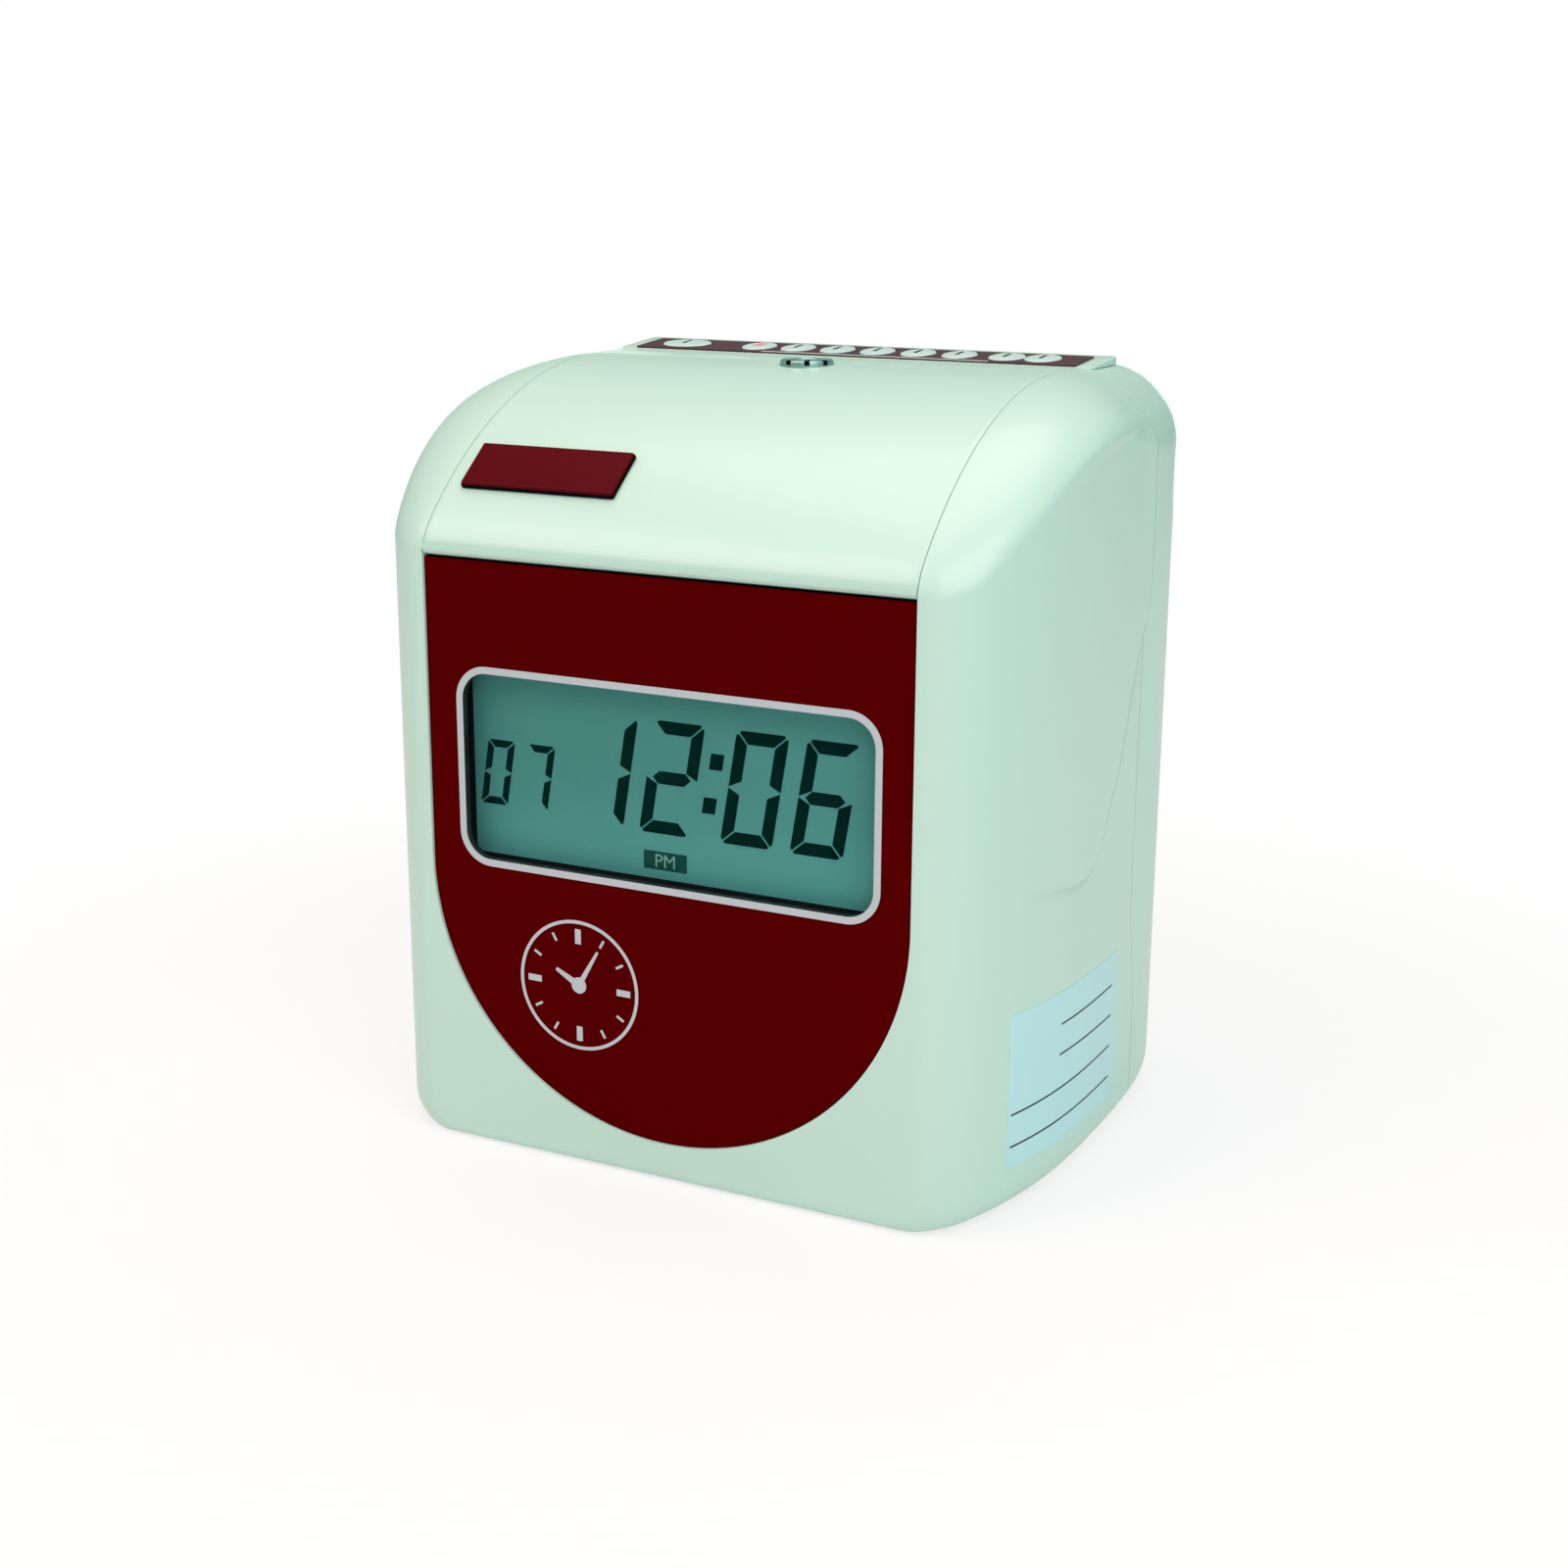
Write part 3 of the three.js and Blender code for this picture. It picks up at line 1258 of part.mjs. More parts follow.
function makePrintHead() {
  const half = printer.headWidth / 2;
  const low = printer.carriageHighZ + fit.gap;
  const nose = printer.noseWidth / 2;
  let head = block(-half, half, printer.headFrontY, printer.headBackY, low, low + printer.headHeight);
  const pitch = printer.headWidth / (finCount + 1);
  for (let i = 1; i <= finCount; i += 1) {
    const x = i * pitch - half;
    head = head.subtract(block(x - printer.finSlot / 2, x + printer.finSlot / 2, 0,
      (printer.headFrontY + printer.headBackY) / 2, low + printer.headHeight / 2, reach));
  }
  const noseBlock = block(-nose, nose, printer.headBackY - fit.overrun, printer.noseEndY,
    Math.max(printer.noseLowZ, low), printer.noseHighZ);
  return head.add(noseBlock);
}

// Card feed

// A spur gear's outline: trapezoid teeth between the root and tip circles, the first tooth at angle phase
const toothRootShare = 0.32;
const toothTipShare = 0.13;
const addendumShare = 1;
const dedendumShare = 1.25;

function gearOutline(teeth, phase, clearance) {
  const pitch = gearModule * teeth / 2;
  const root = pitch - dedendumShare * gearModule;
  const tip = pitch + addendumShare * gearModule - fit.gap / 2;
  const corners = [
    [root, -toothRootShare], [tip, -toothTipShare], [tip, toothTipShare], [root, toothRootShare],
  ];
  const points = [];
  const step = 2 * Math.PI / teeth;
  for (let i = 0; i < teeth; i += 1) {
    const middle = phase + i * step;
    for (const [radius, share] of corners) {
      const angle = middle + share * step - Math.sign(share) * clearance / radius;
      points.push([radius * Math.cos(angle), radius * Math.sin(angle)]);
    }
  }
  return points;
}

function gearX(teeth, phase, y, z, x0) {
  const points = gearOutline(teeth, phase, fit.gap / 3).map(([a, b]) => [y + a, z + b]);
  return prismX(polygon(points), x0, x0 + feed.gearWidth);
}

const gearX0 = frame.plateX + frame.sheet + feed.overhang;

function makeFeedGear() {
  const gear = gearX(gearTeeth, Math.PI, driveY, feed.axisZ, gearX0);
  return gear.subtract(rodX(feed.shaftRadius + fit.gap, driveY, feed.axisZ, 0, reach, 14));
}

function makeFeedPinion() {
  const gear = gearX(pinionTeeth, Math.PI / pinionTeeth, pinionY, feed.axisZ, gearX0);
  const inside = frame.plateX - fit.gap - feed.motorLength / 2 + fit.overrun;
  return gear.add(rodX(beltDrive.shaftRadius, pinionY, feed.axisZ, inside, gearX0 + feed.gearWidth, 10));
}

function makeFeedRoller() {
  const right = gearX0 + feed.gearWidth + feed.overhang / 2;
  return addRollers(rodX(feed.shaftRadius, driveY, feed.axisZ, -gearX0, right, 14), driveY, feed.driveRadius);
}

function addRollers(shaft, y, radius) {
  const half = feed.rollerWidth / 2;
  const roller = (x) => rodX(radius, y, feed.axisZ, x - half, x + half, 20);
  return shaft.add(roller(-feed.rollerX)).add(roller(feed.rollerX));
}

function makePinchRoller() {
  const end = frame.plateX + frame.sheet + feed.overhang;
  return addRollers(rodX(feed.pinchShaftRadius, pinchY, feed.axisZ, -end, end, 12), pinchY, feed.pinchRadius);
}

function makeFeedMotor() {
  const x1 = frame.plateX - fit.gap;
  const body = rodX(feed.motorRadius, pinionY, feed.axisZ, x1 - feed.motorLength, x1, 24);
  return body.subtract(rodX(motorShaftHole, pinionY, feed.axisZ, x1 - feed.motorLength / 2, reach, 12));
}

// Ribbon cartridge

const ribbonZ = frame.topZ + fit.gap;

function makeCartridge() {
  const r = ribbon;
  const top = ribbonZ + r.height;
  let box = prismZ(roundedRect(-r.halfWidth, r.halfWidth, r.frontY, r.backY, r.corner), ribbonZ, top, 2);
  for (const side of [-1, 1]) {
    const x0 = Math.min(side * r.armInnerX, side * r.armOuterX);
    const x1 = Math.max(side * r.armInnerX, side * r.armOuterX);
    box = box.add(block(x0, x1, r.backY - r.corner, r.armEndY, ribbonZ, top));
    box = box.add(block(x0, x1, r.armEndY - r.armTipLength, r.armEndY, r.armTipZ, top));
  }
  const bandY = r.armEndY + r.bandThickness;
  box = box.add(block(-r.armOuterX, r.armOuterX, r.armEndY, bandY, r.bandLowZ, r.bandHighZ));
  return box.subtract(rodZ(r.hubRadius + fit.gap, r.knobX, r.knobY, top - r.hubHeight - fit.gap, reach, 14));
}

const gripShare = 0.08;

function makeRibbonKnob() {
  const low = ribbonZ + ribbon.height + fit.gap;
  const points = [];
  const count = knobGrips * 4;
  for (let i = 0; i < count; i += 1) {
    const angle = 2 * Math.PI * i / count;
    const radius = ribbon.knobRadius * (1 + gripShare * Math.cos(knobGrips * angle) - gripShare);
    points.push([ribbon.knobX + radius * Math.cos(angle), ribbon.knobY + radius * Math.sin(angle)]);
  }
  const knob = prismZ(polygon(points), low, low + ribbon.knobHeight);
  const hubLow = low - ribbon.hubHeight;
  return knob.add(rodZ(ribbon.hubRadius, ribbon.knobX, ribbon.knobY, hubLow, low + fit.gap, 14));
}

// Power and control

function makeTransformer() {
  const p = power;
  const halfX = p.coreWidth / 2;
  const halfY = p.coreDepth / 2;
  const top = floorZ + p.coreHeight;
  const around = (x, y, z0, z1) => block(p.coreX - x, p.coreX + x, p.coreY - y, p.coreY + y, z0, z1);
  const core = around(halfX, halfY, floorZ, top);
  const coilX = halfX - p.limb;
  const coilY = halfY + p.bobbinMargin;
  const x0 = p.coreX - coilX;
  const y0 = p.coreY - coilY;
  const coilOutline = roundedRect(x0, x0 + 2 * coilX, y0, y0 + 2 * coilY, p.limb / 2);
  const coil = prismZ(coilOutline, floorZ + p.limb, top - p.limb, 2);
  const tabs = around(halfX + p.tabLength, halfY, floorZ, floorZ + p.tabThickness);
  return core.add(coil).add(tabs);
}

function makeMainBoard() {
  const p = power;
  const z0 = floorZ + p.standoff;
  const z1 = z0 + p.boardThickness;
  let board = block(p.boardX0, p.boardX1, p.boardY0, p.boardY1, z0, z1);
  for (const x of [p.boardX0 + p.standoffInset, p.boardX1 - p.standoffInset]) {
    for (const y of [p.boardY0 + p.standoffInset, p.boardY1 - p.standoffInset]) {
      board = board.add(rodZ(p.standoffRadius, x, y, floorZ, z0 + fit.gap, 10));
    }
  }
  const capX = p.boardX0 + 2 * p.capRadius;
  const capY = p.boardY1 - 3 * p.capRadius;
  for (const shift of [0, 3 * p.capRadius]) {
    board = board.add(rodZ(p.capRadius, capX + shift, capY, z0, z1 + p.capHeight, 14));
  }
  const chipX = (p.boardX0 + p.boardX1) / 2;
  const chipY = p.boardY0 + p.chipWidth;
  const half = p.chipWidth / 2;
  board = board.add(block(chipX - half, chipX + half, chipY - half, chipY + half, z0, z1 + p.chipHeight));
  const sinkX = p.boardX1 - p.sinkWidth;
  for (let i = 0; i < sinkFinCount; i += 1) {
    const y = capY + i * 3 * p.sinkFin;
    board = board.add(block(sinkX, p.boardX1 - p.sinkFin, y, y + p.sinkFin, z0, z1 + p.sinkHeight));
  }
  return board;
}

function makeMainsInlet() {
  const p = power;
  const face = housing.depth - fit.gap;
  const inside = housing.depth - housing.wall;
  const body = inletBlock(0, face - p.inletDepth, face);
  const flange = inletBlock(p.inletWall, inside - fit.gap - p.inletWall, inside - fit.gap);
  const cavity = inletBlock(-p.inletWall, face - p.inletDepth + p.inletWall, reach);
  let inlet = body.add(flange).subtract(cavity);
  const half = p.pinWidth / 2;
  const pins = [[-p.pinPitch, -half], [p.pinPitch, -half], [0, p.pinPitch / 2]];
  for (const [x, z] of pins) {
    const px = p.inletX + x;
    const pz = p.inletZ + z;
    const y0 = face - p.inletDepth;
    const y1 = y0 + p.inletWall + p.pinLength;
    inlet = inlet.add(block(px - half, px + half, y0, y1, pz - p.pinWidth, pz + p.pinWidth));
  }
  return inlet;
}

function makeScrew(x, z) {
  const b = backWall;
  const seat = b.screwHeadY + fit.gap;
  const head = rodY(b.screwHeadRadius, x, z, seat, seat + b.screwHeadLength, 14);
  return head.add(rodY(b.screwShankRadius, x, z, seat - b.screwLength, seat + fit.gap, 10));
}

function makeFoot(x, y) {
  return rodZ(base.footRadius, x, y, -base.footProud, housing.wall, 20);
}

// The clock

piece('front_housing', makeFrontHousing(), 'casing');
piece('back_cover', makeBackCover(), 'casing');
piece('base_plate', makeBasePlate(), 'casing');
for (const [end, y] of [['front', base.footFrontY], ['back', base.footBackY]]) {
  piece(`foot_${end}_left`, makeFoot(-base.footX, y), 'rubber');
  piece(`foot_${end}_right`, makeFoot(base.footX, y), 'rubber');
}
screwPlaces().forEach(({ x, z }, i) => piece(`case_screw_${i + 1}`, makeScrew(x, z), 'steel'));

piece('hood', makeHood(), 'casing');
piece('lock_body', makeLockBody(), 'zinc');
piece('lock_plug', makeLockPlug(), 'zinc');
piece('lock_cam', makeLockCam(), 'steel');
addBadge();
piece('side_label', makeSideLabel(), 'label');

piece('front_panel', makeFrontPanel(), 'panelRed');
piece('window_line', makeWindowLine(), 'paleLine');
piece('window_lens', makeWindowLens(), 'lens');
piece('lcd_frame', makeLcdFrame(), 'darkPlastic');
piece('lcd_glass', makeLcdGlass(), 'lcdGlass');
piece('display_board', makeDisplayBoard(), 'board');

piece('key_console', makeKeyConsole(), 'casing');
piece('key_film', makeKeyFilm(), 'film');
piece('key_board', makeKeyBoard(), 'board');
keyPlaces().forEach(({ x, width }, i) => piece(`key_${i + 1}`, makeKey(x, width), 'key'));

piece('card_throat', makeCardThroat(), 'casing');
piece('card_guide_front', makeFrontGuide(), 'steel');
piece('card_guide_back', makeBackGuide(), 'steel');
piece('platen', makePlaten(), 'rubber');

piece('side_plate_left', makeSidePlate(-1), 'steel');
piece('side_plate_right', makeSidePlate(1), 'steel');
piece('bridge_plate', makeBridge(), 'steel');
piece('guide_rod_front', makeGuideRod(printer.frontRodY), 'steel');
piece('guide_rod_back', makeGuideRod(printer.backRodY), 'steel');
piece('print_carriage', makeCarriage(), 'darkPlastic');
piece('print_head', makePrintHead(), 'darkPlastic');
piece('carriage_belt', makeBelt(), 'rubber');
piece('belt_pulley_drive', makePulley(1, frame.sheet + beltDrive.motorLength / 3), 'gearWhite');
piece('belt_pulley_idler', makePulley(-1, 2 * frame.sheet + fit.overrun), 'gearWhite');
piece('carriage_motor', makeCarriageMotor(), 'steel');

piece('feed_roller', makeFeedRoller(), 'rubber');
piece('feed_gear', makeFeedGear(), 'gearWhite');
piece('feed_pinion', makeFeedPinion(), 'gearWhite');
piece('feed_motor', makeFeedMotor(), 'steel');
piece('pinch_roller', makePinchRoller(), 'gearWhite');

piece('ribbon_cartridge', makeCartridge(), 'darkPlastic');
piece('ribbon_knob', makeRibbonKnob(), 'gearWhite');

piece('power_transformer', makeTransformer(), 'steel');
piece('main_board', makeMainBoard(), 'board');
piece('mains_inlet', makeMainsInlet(), 'darkPlastic');

clock.position.set(0, -housing.depth / 2, base.footProud);

export default clock;
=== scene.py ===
# A time clock for time cards: the looks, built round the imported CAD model.
# Shapes are worked out in millimetres in the casing's own frame: x to the right, y back from the
# front face, z up from the underside. toWorld() moves them into the frame of the CAD, in metres.
import json

import bmesh
import bpy
import numpy as np
from math import atan2, cos, pi, radians, sin
from mathutils import Euler, Matrix, Vector


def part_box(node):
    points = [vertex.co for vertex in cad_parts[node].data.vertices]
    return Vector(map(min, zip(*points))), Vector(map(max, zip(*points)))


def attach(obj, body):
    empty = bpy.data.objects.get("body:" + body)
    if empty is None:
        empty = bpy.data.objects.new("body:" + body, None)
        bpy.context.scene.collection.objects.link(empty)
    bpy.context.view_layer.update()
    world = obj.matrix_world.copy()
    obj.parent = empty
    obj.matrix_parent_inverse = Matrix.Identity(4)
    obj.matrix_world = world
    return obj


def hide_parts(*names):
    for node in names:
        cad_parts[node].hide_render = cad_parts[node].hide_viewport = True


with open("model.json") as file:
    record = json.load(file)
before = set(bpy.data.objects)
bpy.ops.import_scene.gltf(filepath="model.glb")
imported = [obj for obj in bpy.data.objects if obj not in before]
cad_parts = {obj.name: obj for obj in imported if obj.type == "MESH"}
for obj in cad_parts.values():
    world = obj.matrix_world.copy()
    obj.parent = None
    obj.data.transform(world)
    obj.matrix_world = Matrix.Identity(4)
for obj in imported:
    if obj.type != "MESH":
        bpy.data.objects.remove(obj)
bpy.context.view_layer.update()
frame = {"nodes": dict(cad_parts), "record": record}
cadNodes = frame["nodes"]
print("frame loaded,", len(cadNodes), "nodes")


class Sizes(dict):
    # A dictionary whose values can be read with a dot
    __getattr__ = dict.__getitem__


placing = Sizes(halfDepth=82.5, footProud=1.5, scale=0.001, mergeWithin=0.000002)


def toWorld(points):
    return (np.asarray(points, float) + [0, -placing.halfDepth, placing.footProud]) * placing.scale


def toCasing(points):
    return np.asarray(points, float) / placing.scale - [0, -placing.halfDepth, placing.footProud]


# Finishes

class Socket:
    # It stands for one output of a shader node, and an expression on it adds the Math nodes
    def __init__(self, finish, output):
        self.finish, self.output = finish, output

    def maths(self, operation, *values):
        return self.finish.node("ShaderNodeMath", dict(enumerate(values)), operation=operation)

    def __add__(self, other):
        return self.maths("ADD", self, other)

    def __radd__(self, other):
        return self.maths("ADD", other, self)

    def __sub__(self, other):
        return self.maths("SUBTRACT", self, other)

    def __rsub__(self, other):
        return self.maths("SUBTRACT", other, self)

    def __mul__(self, other):
        return self.maths("MULTIPLY", self, other)

    def __rmul__(self, other):
        return self.maths("MULTIPLY", other, self)

    def __truediv__(self, other):
        return self.maths("DIVIDE", self, other)

    def clamped(self):
        return self.maths("MINIMUM", self.maths("MAXIMUM", self, 0.0), 1.0)


class Finish:
    # The nodes of one material or world. node() makes any node from its kind, the values or links of its
    # inputs, the output that is wanted, and its settings.
    def __init__(self, name, group="materials"):
        self.owner = getattr(bpy.data, group).new(name)
        self.owner.use_nodes = True
        self.tree = self.owner.node_tree
        self.tree.nodes.clear()

    def node(self, kind, inputs=(), output=0, **settings):
        made = self.tree.nodes.new(kind)
        for key, value in settings.items():
            setattr(made, key, value)
        for key, value in dict(inputs).items():
            if isinstance(value, Socket):
                self.tree.links.new(value.output, made.inputs[key])
            else:
                made.inputs[key].default_value = value
        return Socket(self, made.outputs[output]) if len(made.outputs) else None

    def place(self):
        return self.node("ShaderNodeTexCoord", output="Object")

    def noise(self, scale, detail=3.0, roughness=0.5, stretch=(1, 1, 1)):
        at = self.node("ShaderNodeMapping", {"Vector": self.place(), "Scale": stretch})
        inputs = {"Vector": at, "Scale": scale, "Detail": detail, "Roughness": roughness}
        return self.node("ShaderNodeTexNoise", inputs, "Fac")

    def blend(self, share, first, second):
        # a colour between two others
        return self.node("ShaderNodeMix", {0: share, 6: first, 7: second}, 2, data_type="RGBA")

    def bump(self, height, distance):
        return self.node("ShaderNodeBump", {"Height": height, "Distance": distance})

    def shown(self, shader):
        self.node("ShaderNodeOutputMaterial", {"Surface": shader})
        return self.owner

    def surface(self, inputs):
        return self.shown(self.node("ShaderNodeBsdfPrincipled", inputs))


def paint(rgb):
    # a colour as seen on screen, 0 to 255, turned into the light values that shaders use
    share = np.array(rgb, float) / 255
    light = np.where(share <= 0.04045, share / 12.92, ((share + 0.055) / 1.055) ** 2.4)
    return (*[float(v) for v in light], 1.0)


def mouldedPlastic(name, colour, shade, roughness, grain, depth, coat=0.0, gleam=0.5, paintedCreaseShade=None):
    # plastic from a mould: slow drifts of tone, a fine grain, and gloss that wanders a little; painted
    # shade darkens it in creases, as much as the mesh's value for that shade says
    made = Finish(name)
    drift, fine, wear = made.noise(9.0, 2.0), made.noise(grain, 3.0, 0.6), made.noise(38.0, 4.0, 0.6)
    tone = made.blend(drift, paint(shade), paint(colour))
    if paintedCreaseShade:
        creaseShade = made.node("ShaderNodeAttribute", {}, "Fac", attribute_name="paintedCreaseShade")
        tone = made.blend(creaseShade, tone, paint(paintedCreaseShade))
    return made.surface({
        "Base Color": tone, "Roughness": roughness * 0.85 + wear * (roughness * 0.3),
        "Specular IOR Level": gleam, "Coat Weight": coat, "Coat Roughness": 0.08,
        "Normal": made.bump(fine * 0.8 + wear * 0.2, depth),
    })


def rolledMetal(name, colour, shade, roughness, stretch, scale, depth):
    # sheet or turned metal: grain drawn out along one way, with faint clouds in the gloss
    made = Finish(name)
    lines, clouds = made.noise(scale, 4.0, 0.65, stretch), made.noise(26.0, 4.0)
    return made.surface({
        "Base Color": made.blend(clouds, paint(shade), paint(colour)), "Metallic": 1.0,
        "Roughness": (roughness * 0.7 + lines * (roughness * 0.6)).clamped(),
        "Normal": made.bump(lines * 0.7 + clouds * 0.3, depth),
    })


def clearPlastic(name, tint, roughness):
    # a thin window: see-through, with the reflection of a clear sheet and faint wiping marks in it
    made = Finish(name)
    gloss = roughness + made.noise(60.0, 4.0, 0.6, (1, 1, 4)) * 0.05
    mirror = made.node("ShaderNodeBsdfGlossy", {"Color": (1, 1, 1, 1), "Roughness": gloss})
    clear = made.node("ShaderNodeBsdfTransparent", {"Color": tint})
    edgeOn = made.node("ShaderNodeFresnel", {"IOR": 1.3})
    return made.shown(made.node("ShaderNodeMixShader", {0: edgeOn * 0.06, 1: clear, 2: mirror}))


# the middle and half the size of the display's field, in metres
fieldPlace = Sizes(x=-0.0008, z=0.1149, halfX=0.064, halfZ=0.0272)


def displayField(name, dim, paintedLight, grain, depth):
    # the display's field is paler toward its edges, most at the lower right: painted light that evens out
    # the shade which the deep bezel casts round it; u and v run from -1 to 1
    made, size = Finish(name), fieldPlace
    u = (made.node("ShaderNodeSeparateXYZ", {0: made.place()}, 0) - size.x) / size.halfX
    v = (made.node("ShaderNodeSeparateXYZ", {0: made.place()}, 2) - size.z) / size.halfZ
    share = (v * v * 0.48 - v * 0.14 + u * 0.1 + made.noise(20.0, 3.0) * 0.06 + 0.07) / 0.9
    return made.surface({
        "Base Color": made.blend(share.clamped(), paint(dim), paint(paintedLight)),
        "Roughness": 0.4 + made.noise(38.0, 4.0) * 0.1, "Specular IOR Level": 0.1,
        "Normal": made.bump(made.noise(grain), depth),
    })


# colour, shade, roughness, scale of the grain, its depth in metres, coat, gleam, colour of the painted shade in
# creases
plastics = {
    "casing": ((195, 231, 216), (191, 229, 214), 0.34, 700, 2e-6, 0.12, 0.5, (136, 176, 163)),
    "base_plastic": ((186, 208, 197), (178, 200, 190), 0.5, 600, 1e-5),
    "foot_rubber": ((44, 45, 46), (34, 35, 36), 0.85, 500, 4e-5),
    "badge": ((90, 2, 16), (82, 1, 12), 0.3, 400, 4e-6, 0.03, 0.05),
    "label_film": ((189, 236, 238), (184, 232, 234), 0.36, 300, 4e-6),
    "panel_red": ((87, 0, 2), (81, 0, 1), 0.45, 260, 2e-6, 0, 0),
    "print_pale": ((192, 202, 206), (184, 195, 200), 0.5, 600, 4e-6, 0, 0.3),
    "black_plastic": ((24, 25, 27), (17, 18, 20), 0.55, 600, 2e-5, 0, 0.3),
    "circuit_board": ((30, 92, 56), (22, 76, 46), 0.42, 300, 2e-5, 0.3),
    "key_film": ((84, 44, 50), (72, 36, 42), 0.42, 420, 6e-6, 0, 0.3),
    "key_plastic": ((206, 234, 230), (196, 226, 222), 0.36, 500, 4e-6, 0.15),
    "roller_rubber": ((52, 53, 56), (40, 41, 44), 0.8, 420, 5e-5),
    "white_plastic": ((226, 228, 222), (214, 217, 211), 0.42, 600, 1e-5),
    "segmentInk": ((2, 38, 35), (1, 33, 30), 0.5, 500, 2e-6, 0, 0),
    # black for the display's bezel, and for pieces of painted shade: the gap under the hood, the keyway, the
    # lock's notches and the badge's pad
    "maskInk": ((7, 8, 9), (4, 5, 6), 0.6, 600, 4e-6, 0, 0.03),
    "flagInk": ((20, 80, 72), (16, 74, 66), 0.5, 500, 2e-6, 0, 0.06),
    "letterInk": ((122, 182, 172), (116, 176, 166), 0.45, 500, 2e-6, 0, 0.2),
    "darkInk": ((30, 52, 54), (24, 44, 46), 0.5, 500, 2e-6, 0, 0.3),
    "roseInk": ((232, 150, 164), (224, 142, 156), 0.5, 500, 2e-6, 0, 0.3),
}
# colour, shade, roughness, stretch of the grain, its scale, its depth in metres
metals = {
    "screw_steel": ((196, 199, 203), (172, 175, 180), 0.32, (1, 1, 1), 300, 1e-5),
    "lock_metal": ((176, 214, 208), (150, 196, 190), 0.42, (1, 5, 1), 260, 5e-6),
    "cam_steel": ((186, 189, 192), (160, 163, 168), 0.35, (6, 1, 1), 200, 1e-5),
    "plated_steel": ((190, 194, 198), (170, 175, 182), 0.36, (1, 1, 9), 180, 1e-5),
    "ground_steel": ((205, 207, 210), (188, 190, 195), 0.2, (12, 1, 1), 260, 5e-6),
    "motor_steel": ((160, 164, 170), (138, 142, 150), 0.3, (1, 1, 1), 120, 1e-5),
    "head_metal": ((150, 152, 156), (122, 125, 130), 0.42, (1, 1, 7), 150, 2e-5),
    "core_iron": ((112, 110, 108), (84, 82, 82), 0.5, (1, 30, 1), 90, 4e-5),
}
finishes = {name: mouldedPlastic(name, *row) for name, row in plastics.items()}
finishes |= {name: rolledMetal(name, *row) for name, row in metals.items()}
finishes["clear_lens"] = clearPlastic("clear_lens", (0.97, 0.98, 0.975, 1), 0.06)
# the second colour is painted light at the edges of the display's field
finishes["lcd"] = displayField("lcd", (74, 144, 139), (94, 179, 174), 500, 2e-6)
finishOf = {part["node"]: part["material_slot"] for part in frame["record"]["subparts"]}
bodyOf = {node: body for body, group in frame["record"]["behaviour"]["bodies"].items() for node in group}


def addFinish(made, name):
    made.data.materials.clear()
    made.data.materials.append(finishes[name])
    return made


for node, shown in cadNodes.items():
    addFinish(shown, finishOf[node])
print("finishes made")


# Meshes

def smoothed(made, angle=35):
    made.data.shade_smooth()
    made.data.set_sharp_from_angle(angle=radians(angle))
    return made


def meshPiece(name, points, faces, node, angle=35):
    # A piece that stands for a CAD node: points in casing millimetres, doubles merged, faces turned out,
    # sharp where faces meet at more than the angle
    mesh = bpy.data.meshes.new(name)
    mesh.from_pydata(toWorld(points).tolist(), [], faces)
    work = bmesh.new()
    work.from_mesh(mesh)
    bmesh.ops.remove_doubles(work, verts=work.verts, dist=placing.mergeWithin)
    bmesh.ops.recalc_face_normals(work, faces=work.faces)
    work.to_mesh(mesh)
    work.free()
    made = bpy.data.objects.new(name, mesh)
    bpy.context.scene.collection.objects.link(made)
    made["standsFor"] = node
    return smoothed(addFinish(made, finishOf[node]), angle)


def settle(made, *nodesReplaced):
    # The piece rides on its node's body and takes the place of the nodes it replaces, which are hidden
    node = made["standsFor"]
    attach(made, bodyOf[node])
    if nodesReplaced:
        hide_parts(*nodesReplaced)
    return made


def softenEdges(made, width, angle=50, segments=2):
    bevel = made.modifiers.new("softEdges", "BEVEL")
    bevel.width, bevel.segments = width * placing.scale, segments
    bevel.limit_method, bevel.angle_limit = "ANGLE", radians(angle)
    return made


def applyModifiers(made):
    bpy.context.view_layer.update()
    graph = bpy.context.evaluated_depsgraph_get()
    mesh = bpy.data.meshes.new_from_object(made.evaluated_get(graph))
    made.modifiers.clear()
    made.data = mesh
    return made


def combine(made, others, operation="DIFFERENCE"):
    # The others are closed bodies: each is taken away from the piece, or added to it with UNION
    for other in others:
        step = made.modifiers.new("combine", "BOOLEAN")
        step.operation, step.solver, step.object = operation, "MANIFOLD", other
    applyModifiers(made)
    for other in others:
        bpy.data.objects.remove(other)
    return made


def joinMesh(made, other):
    work = bmesh.new()
    work.from_mesh(made.data)
    work.from_mesh(other)
    work.to_mesh(made.data)
    work.free()


def coordinates(mesh):
    flat = np.zeros(len(mesh.vertices) * 3)
    mesh.vertices.foreach_get("co", flat)
    return flat.reshape(-1, 3)


def ringFaces(count, rings, closed=False):
    # Faces between neighbouring rings of count points; closed joins the last ring to the first
    here = np.arange(count)
    there = (here + 1) % count
    row = np.arange(rings if closed else rings - 1)[:, None] * count
    after = (row + count) % (rings * count)
    return np.stack([here + row, there + row, there + after, here + after], -1).reshape(-1, 4).tolist()


def ringsPiece(name, rings, node, angle, closed=False):
    rings = np.asarray(rings)
    faces = ringFaces(rings.shape[1], len(rings), closed)
    return meshPiece(name, rings.reshape(-1, 3), faces, node, angle)


def loopPrism(loop, low, high, axis):
    # A flat loop of points carried straight from low to high: along z for axis 2, along y for axis 1
    loop = np.asarray(loop, float)
    here = np.arange(len(loop))
    ends = [np.insert(loop, axis, level, axis=1) for level in (low, high)]
    caps = [here[::-1].tolist(), (here + len(loop)).tolist()]
    return np.concatenate(ends), ringFaces(len(loop), 2) + caps


